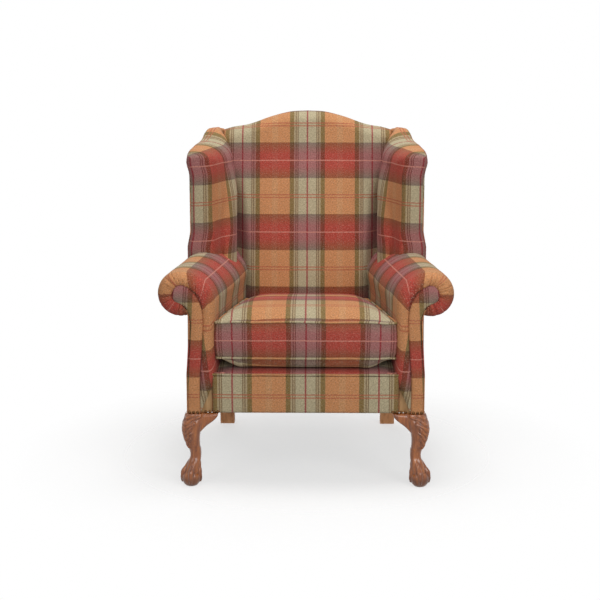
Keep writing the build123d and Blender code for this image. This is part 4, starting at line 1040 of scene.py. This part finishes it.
def cushion():
    points, faces, uvs, seams = cushion_shape()
    piece = mesh_piece(
        "cushion", points, faces, uvs, CLOTH, "tartan_cloth", ["cushion_cover"], body="seat_cushion"
    )
    stuff(piece, 3.0, 14, 0.0030)
    done = np.array([v.co for v in piece.data.vertices])
    filling(piece, faces)
    fine = piece.modifiers.new("smooth", "SUBSURF")
    fine.levels = fine.render_levels = 1
    middle = done.mean(axis=0)
    for name, seam, node, lean in (
        ("cushion_cord_low", seams[0], "cushion_piping_lower", -0.35),
        ("cushion_cord_high", seams[1], "cushion_piping_upper", 0.35),
    ):
        path = done[seam]
        normals = unit((path - middle) * np.array([1.0, 1.0, 0.0])) + np.array([0, 0, lean])
        for _ in range(3):
            path = (np.roll(path, 1, axis=0) + path * 2 + np.roll(path, -1, axis=0)) / 4
        path = path + normals * CORD * 0.9
        cord_piece(name, path, normals, node, "seat_cushion", True, straight=-CUSHION_HALF_FRONT)


def filling(shell, faces):
    """The foam and its wrap, a little smaller all round than the cover that it fills."""
    place = np.array([v.co - v.normal * 0.0045 for v in shell.data.vertices])
    core = mesh_piece(
        "cushion_foam", place, faces, None, FOAM, "cushion_filling", ["cushion_core"], body="seat_cushion"
    )


# ---- Front legs

FOOT_X, FOOT_DEPTH = 0.3325, 0.001
LEG = [  # height, how far the centre stands out on the diagonal, half width
    (0.030, -0.001, 0.0180), (0.044, -0.003, 0.0195), (0.070, -0.009, 0.0180), (0.084, -0.0125, 0.0160),
    (0.098, -0.0125, 0.0163), (0.120, -0.008, 0.0195), (0.146, -0.0045, 0.0235), (0.166, -0.0045, 0.0270),
    (0.186, -0.0080, 0.0297), (0.202, -0.0140, 0.0308), (0.216, -0.0185, 0.0308),
]
LEG_LOW, LEG_HIGH = LEG[0][0], LEG[-1][0]
BALL, BALL_MIDDLE = 0.0265, 0.0215  # radius of the foot's ball and height of its middle
EAR_REACH = 0.0635


def leaf(z, angle):
    """Relief of the carved leaf on the knee: angle 0 is the outer corner of the leg."""
    down = (0.212 - z) / 0.100
    inside = np.clip(down, 0, 1)
    lobes = 1 + 0.20 * np.sin(inside * 2 * pi * 4.5 + 0.6)
    width = 1.15 * (1 - inside) ** 0.55 * lobes + 0.02
    side = np.abs(angle) / width
    body = np.clip(1 - side**2, 0, 1) ** 0.5
    shown = (down > -0.05) & (down < 1.0)
    flute = np.abs(np.sin(pi * (inside * 6.0 + side * 1.5))) ** 1.4
    stem = np.exp(-((angle / 0.085) ** 2))
    curl = np.exp(-(((side - 0.82) / 0.16) ** 2))
    height = 0.0010 * body + 0.0044 * body * flute + 0.0024 * stem + 0.0020 * curl * flute
    return np.where(shown, height - 0.0014, 0.0)


def squared(angles, power):
    """Cosine and sine of angles, and what to divide a radius by for a circle squared off by a power."""
    c, s = np.cos(angles), np.sin(angles)
    return c, s, (np.abs(c) ** power + np.abs(s) ** power) ** (1 / power)


def leg_body():
    """Rings of the cabriole leg, with the knee's carving raised from them."""
    c, s, rounding = squared(circle(128), 2.6)
    outward = np.angle(np.exp(1j * (circle(128) + pi / 4)))
    rows = []
    for z in np.linspace(LEG_LOW, LEG_HIGH, 130):
        out, half = through(LEG, z)
        radius = half / rounding + leaf(z, outward)
        x = FOOT_X + out + radius * c
        depth = FOOT_DEPTH - out + radius * s
        rows.append(stack(x, depth + FRONT, z))
    return tube(rows)


def tube(rows):
    """Vertices and faces of a closed tube through rings of equal count."""
    count = len(rows[0])
    points = [tuple(p) for row in rows for p in row]
    faces = []
    for i in range(len(rows) - 1):
        for j in range(count):
            k = (j + 1) % count
            faces.append((i * count + j, i * count + k, (i + 1) * count + k, (i + 1) * count + j))
    faces.append(tuple(range(count))[::-1])
    faces.append(tuple((len(rows) - 1) * count + j for j in range(count)))
    return points, faces


def ball():
    rows = []
    a = circle(48)
    for t in np.radians(np.linspace(-54, 88, 26)):
        z, radius = BALL_MIDDLE + BALL * sin(t), BALL * cos(t)
        rows.append(stack(FOOT_X + radius * np.cos(a), FOOT_DEPTH + FRONT + radius * np.sin(a), z))
    return tube(rows)


def talon(quarter):
    """A toe that comes down over the ball: two knuckles and a claw."""
    angle = quarter * pi / 2
    keys = [  # position, how far out, height, radius
        (0.0, 0.0060, 0.086, 0.0070), (0.18, 0.0085, 0.074, 0.0085), (0.36, 0.0130, 0.062, 0.0092),
        (0.50, 0.0170, 0.052, 0.0085), (0.64, 0.0215, 0.042, 0.0090), (0.80, 0.0240, 0.031, 0.0072),
        (0.92, 0.0255, 0.020, 0.0060), (1.0, 0.0255, 0.010, 0.0035),
    ]
    path = through(keys, np.linspace(0, 1, 40))
    ca, sa = cos(angle), sin(angle)
    tangent = unit(np.gradient(path[:, :2], axis=0))
    rows = []
    a = circle(24)
    for (r, z, radius), (tr, tz) in zip(path, tangent):
        nr, nz = -tz, tr
        ring_r = r + radius * np.cos(a) * nr
        ring_z = np.maximum(z + radius * np.cos(a) * nz, 0.0004)
        side = radius * 0.92 * np.sin(a)
        stand = through(LEG, z)[0] * smooth((z - LEG_LOW) / 0.030)
        x = FOOT_X + stand + ring_r * ca - side * sa
        y = FRONT + FOOT_DEPTH - stand + ring_r * sa + side * ca
        rows.append(stack(x, y, ring_z))
    return tube(rows)


def ear(along_front):
    """A bracket beside the knee: its lower edge sweeps up from the leg to a rounded tip."""
    head_x, head_depth = FOOT_X - 0.017, FOOT_DEPTH + 0.017
    stand = 0.013  # how far the bracket's middle stands outside the leg's
    stations = [
        (0.0, 0.064, 0.0140), (0.15, 0.059, 0.0138), (0.28, 0.050, 0.0132), (0.46, 0.0385, 0.0125),
        (0.69, 0.0275, 0.0118), (0.87, 0.0175, 0.0108), (0.97, 0.0085, 0.0085), (1.0, 0.003, 0.0060),
    ]
    c, s, rounding = squared(circle(32), 3.2)
    k = 1 / rounding
    rows = []
    for t in np.linspace(0, 1, 30):
        drop, half = through(stations, t)
        run = EAR_REACH * t
        middle = LEG_HIGH - drop / 2
        thick, high = half * k * c, (drop / 2) * k * s
        if along_front:
            x, depth = head_x - run, head_depth - stand + thick
        else:
            x, depth = head_x + stand + thick, head_depth + run
        rows.append(stack(x, depth + FRONT, middle + high))
    return tube(rows)


def front_leg(side):
    """One carved leg: its parts are joined and skinned as one surface."""
    parts = [leg_body(), ball(), ear(True), ear(False), *[talon(q) for q in range(4)]]
    points, faces = [], []
    for part_points, part_faces in parts:
        base = len(points)
        points.extend(part_points)
        faces.extend(tuple(i + base for i in face) for face in part_faces)
    piece = mesh_piece("carved_leg" + side, points, faces, None, CARVED, "carved_wood", ["front_leg" + side])
    skin = piece.modifiers.new("skin", "REMESH")
    skin.mode = "VOXEL"
    skin.voxel_size = 0.0013
    soften = piece.modifiers.new("soften", "SMOOTH")
    soften.factor = 0.5
    soften.iterations = 2
    view = bpy.context.evaluated_depsgraph_get()
    carved = bpy.data.meshes.new_from_object(piece.evaluated_get(view), depsgraph=view)
    piece.modifiers.clear()
    piece.data = carved
    carved.polygons.foreach_set("use_smooth", [True] * len(carved.polygons))
    mark_hollow_shade(carved)
    if side == "_left":
        for vertex in carved.vertices:
            vertex.co.x = -vertex.co.x
        carved.flip_normals()


def mark_hollow_shade(mesh):
    """Stores how far each point lies below its neighbours, as painted shade in the carving's hollows, and
    darker towards the bottom of the foot.
    """
    count = len(mesh.vertices)
    place = np.zeros(count * 3)
    mesh.vertices.foreach_get("co", place)
    place = place.reshape(-1, 3)
    normal = np.array([v.normal for v in mesh.vertices])
    edges = np.zeros(len(mesh.edges) * 2, dtype=int)
    mesh.edges.foreach_get("vertices", edges)
    a, b = edges.reshape(-1, 2).T
    degree = np.bincount(a, minlength=count) + np.bincount(b, minlength=count)

    def average(values):
        total = np.zeros_like(values)
        np.add.at(total, a, values[b])
        np.add.at(total, b, values[a])
        return total / np.maximum(degree, 1).reshape((-1,) + (1,) * (values.ndim - 1))

    around = place
    for _ in range(5):
        around = average(around)
    depth = np.sum((around - place) * normal, axis=1)
    for _ in range(2):
        depth = average(depth)
    hollow = np.clip(depth / 0.0006, 0, 1)
    # painted shade: darker towards the bottom of the foot, by the floor
    hollow = np.maximum(hollow, 0.5 * smooth((0.034 - place[:, 2]) / 0.014))
    layer = mesh.attributes.new("hollow", "FLOAT", "POINT")
    layer.data.foreach_set("value", hollow)


# ---- The CAD nodes that show, or would show with a panel off


def finish_nodes():
    timber = wood("planed_hardwood", (168, 124, 78), (196, 154, 104), (214, 178, 130), 0.55)
    stained = wood("light_brown_wood", (168, 104, 58), (214, 148, 96), (232, 174, 122), 0.36)
    black = plain_cloth("dust_cloth", (34, 32, 31), 700.0)
    finishes = {
        "frame_timber": timber.material,
        "rear_leg_wood": stained.material,
        "carved_wood": CARVED,
        "platform_cloth": plain_cloth("platform_lining", (70, 62, 54)),
        "cushion_filling": FOAM,
        "webbing": plain_cloth("elastic_webbing", (62, 56, 50), 500.0),
        "spring_steel": metal("spring_wire", (104, 106, 110), (140, 142, 146), 0.35),
        "screw_steel": metal("plated_steel", (150, 150, 152), (178, 178, 176), 0.3),
        "nail_bronze": metal("dark_bronze", (58, 40, 26), (120, 84, 52), 0.32),
        "zip_tape": plain_cloth("zip_tape_cloth", (86, 64, 46), 800.0),
        "zip_metal": metal("satin_brass", (150, 116, 60), (186, 150, 84), 0.3),
        "tartan_cloth": CLOTH,
        "piping_cloth": CLOTH,
    }
    for entry in frame["record"]["subparts"]:
        node = frame["nodes"][entry["node"]]
        node.data.materials.clear()
        dust = entry["node"] == "dust_cover"
        node.data.materials.append(black if dust else finishes[entry["material_slot"]])


# ---- Studio


def hang(name, data, place, aim):
    """Puts a lamp or camera in its place, turned along a direction."""
    thing = bpy.data.objects.new(name, data)
    thing.location = place
    thing.rotation_euler = Vector(aim).to_track_quat("-Z", "Y").to_euler()
    bpy.context.scene.collection.objects.link(thing)
    return thing


def studio():
    world = bpy.context.scene.world = bpy.data.worlds.new("studio")
    world.use_nodes = True
    n = Nodes(world.node_tree)
    n.tree.nodes.clear()
    rays = n.tree.nodes.new("ShaderNodeLightPath").outputs
    seen = rays["Is Camera Ray"]
    for kind in ("Is Glossy Ray", "Is Transmission Ray"):
        seen = n.math("MAXIMUM", seen, rays[kind])
    light_on_chair, background = [
        n.add("ShaderNodeBackground", (("Color", colour), ("Strength", strength)))
        for colour, strength in (((1.0, 0.985, 0.965, 1), 0.25), ((1, 1, 1, 1), 1.0))
    ]
    sky = n.add("ShaderNodeMixShader", ((0, seen), (1, light_on_chair), (2, background)))
    n.feed(n.tree.nodes.new("ShaderNodeOutputWorld").inputs[0], sky)

    def area(name, place, size, power, target=(0, 0, 0.5)):
        light = bpy.data.lights.new(name, "AREA")
        light.shape = "RECTANGLE"
        light.size, light.size_y = size
        light.energy = power
        hang(name, light, place, Vector(target) - Vector(place))

    area("front_softbox", (0.15, -2.6, 1.15), (1.2, 1.0), 17)
    area("left_softbox", (-1.3, -1.8, 1.3), (0.9, 0.9), 5)
    area("right_softbox", (1.3, -1.8, 1.3), (0.9, 0.9), 12)
    area("top_softbox", (0.1, -0.05, 3.0), (1.6, 1.0), 42, (0.05, 0, 0.4))
    area("rear_softbox", (-0.8, 3.0, 2.0), (2.0, 1.6), 22)

    mesh = bpy.data.meshes.new("floor")
    ring = [(9 * cos(a), 9 * sin(a), 0.0) for a in circle(64)]
    mesh.from_pydata(ring, [], [tuple(range(64))])
    floor = bpy.data.objects.new("floor", mesh)
    bpy.context.scene.collection.objects.link(floor)
    mesh.materials.append(floor_material())
    floor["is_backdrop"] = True


def floor_material():
    """Pale floor that keeps the shadow near the chair and fades into the white background."""
    n = Surface("studio_floor")
    place = n.place()
    far = n.add("ShaderNodeVectorMath", [(0, place)], "Value", operation="LENGTH")
    fade = n.ramp(n.math("DIVIDE", far, 1.6), [(0.24, (0.4, 0.4, 0.4, 1)), (0.58, (0, 0, 0, 1))])
    n.set(Base_Color=n.grey(n.noise(place, 40.0), 0.93, 0.95), Alpha=fade)
    n.set(Roughness=0.9, Specular_IOR_Level=0.1)
    return n.material


def camera():
    """The photograph's viewpoint: eye height, distance and tilt of the fitted camera."""
    eye = bpy.data.cameras.new("camera")
    eye.lens = 75.65
    eye.sensor_width = 36.0
    tilt, turn = radians(10.49), -radians(0.78)
    aim = (sin(turn) * cos(tilt), cos(turn) * cos(tilt), -sin(tilt))
    bpy.context.scene.camera = hang("camera", eye, (0.032, FRONT - 3.516, 1.200), aim)
    bpy.context.scene.view_settings.view_transform = "Standard"


camera()
studio()
inside_back()
outside_back()
border()
platform()
cushion()
for side in ("_right", "_left"):
    for draw in (arm_cover, facing, outside_arm, wing_cover, wing_cord, outside_wing, front_leg):
        draw(side)
finish_nodes()


def plain(corners):
    return [[float(c) for c in corner] for corner in corners]


{"cad": plain(cad_box), "visual": plain(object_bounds())}
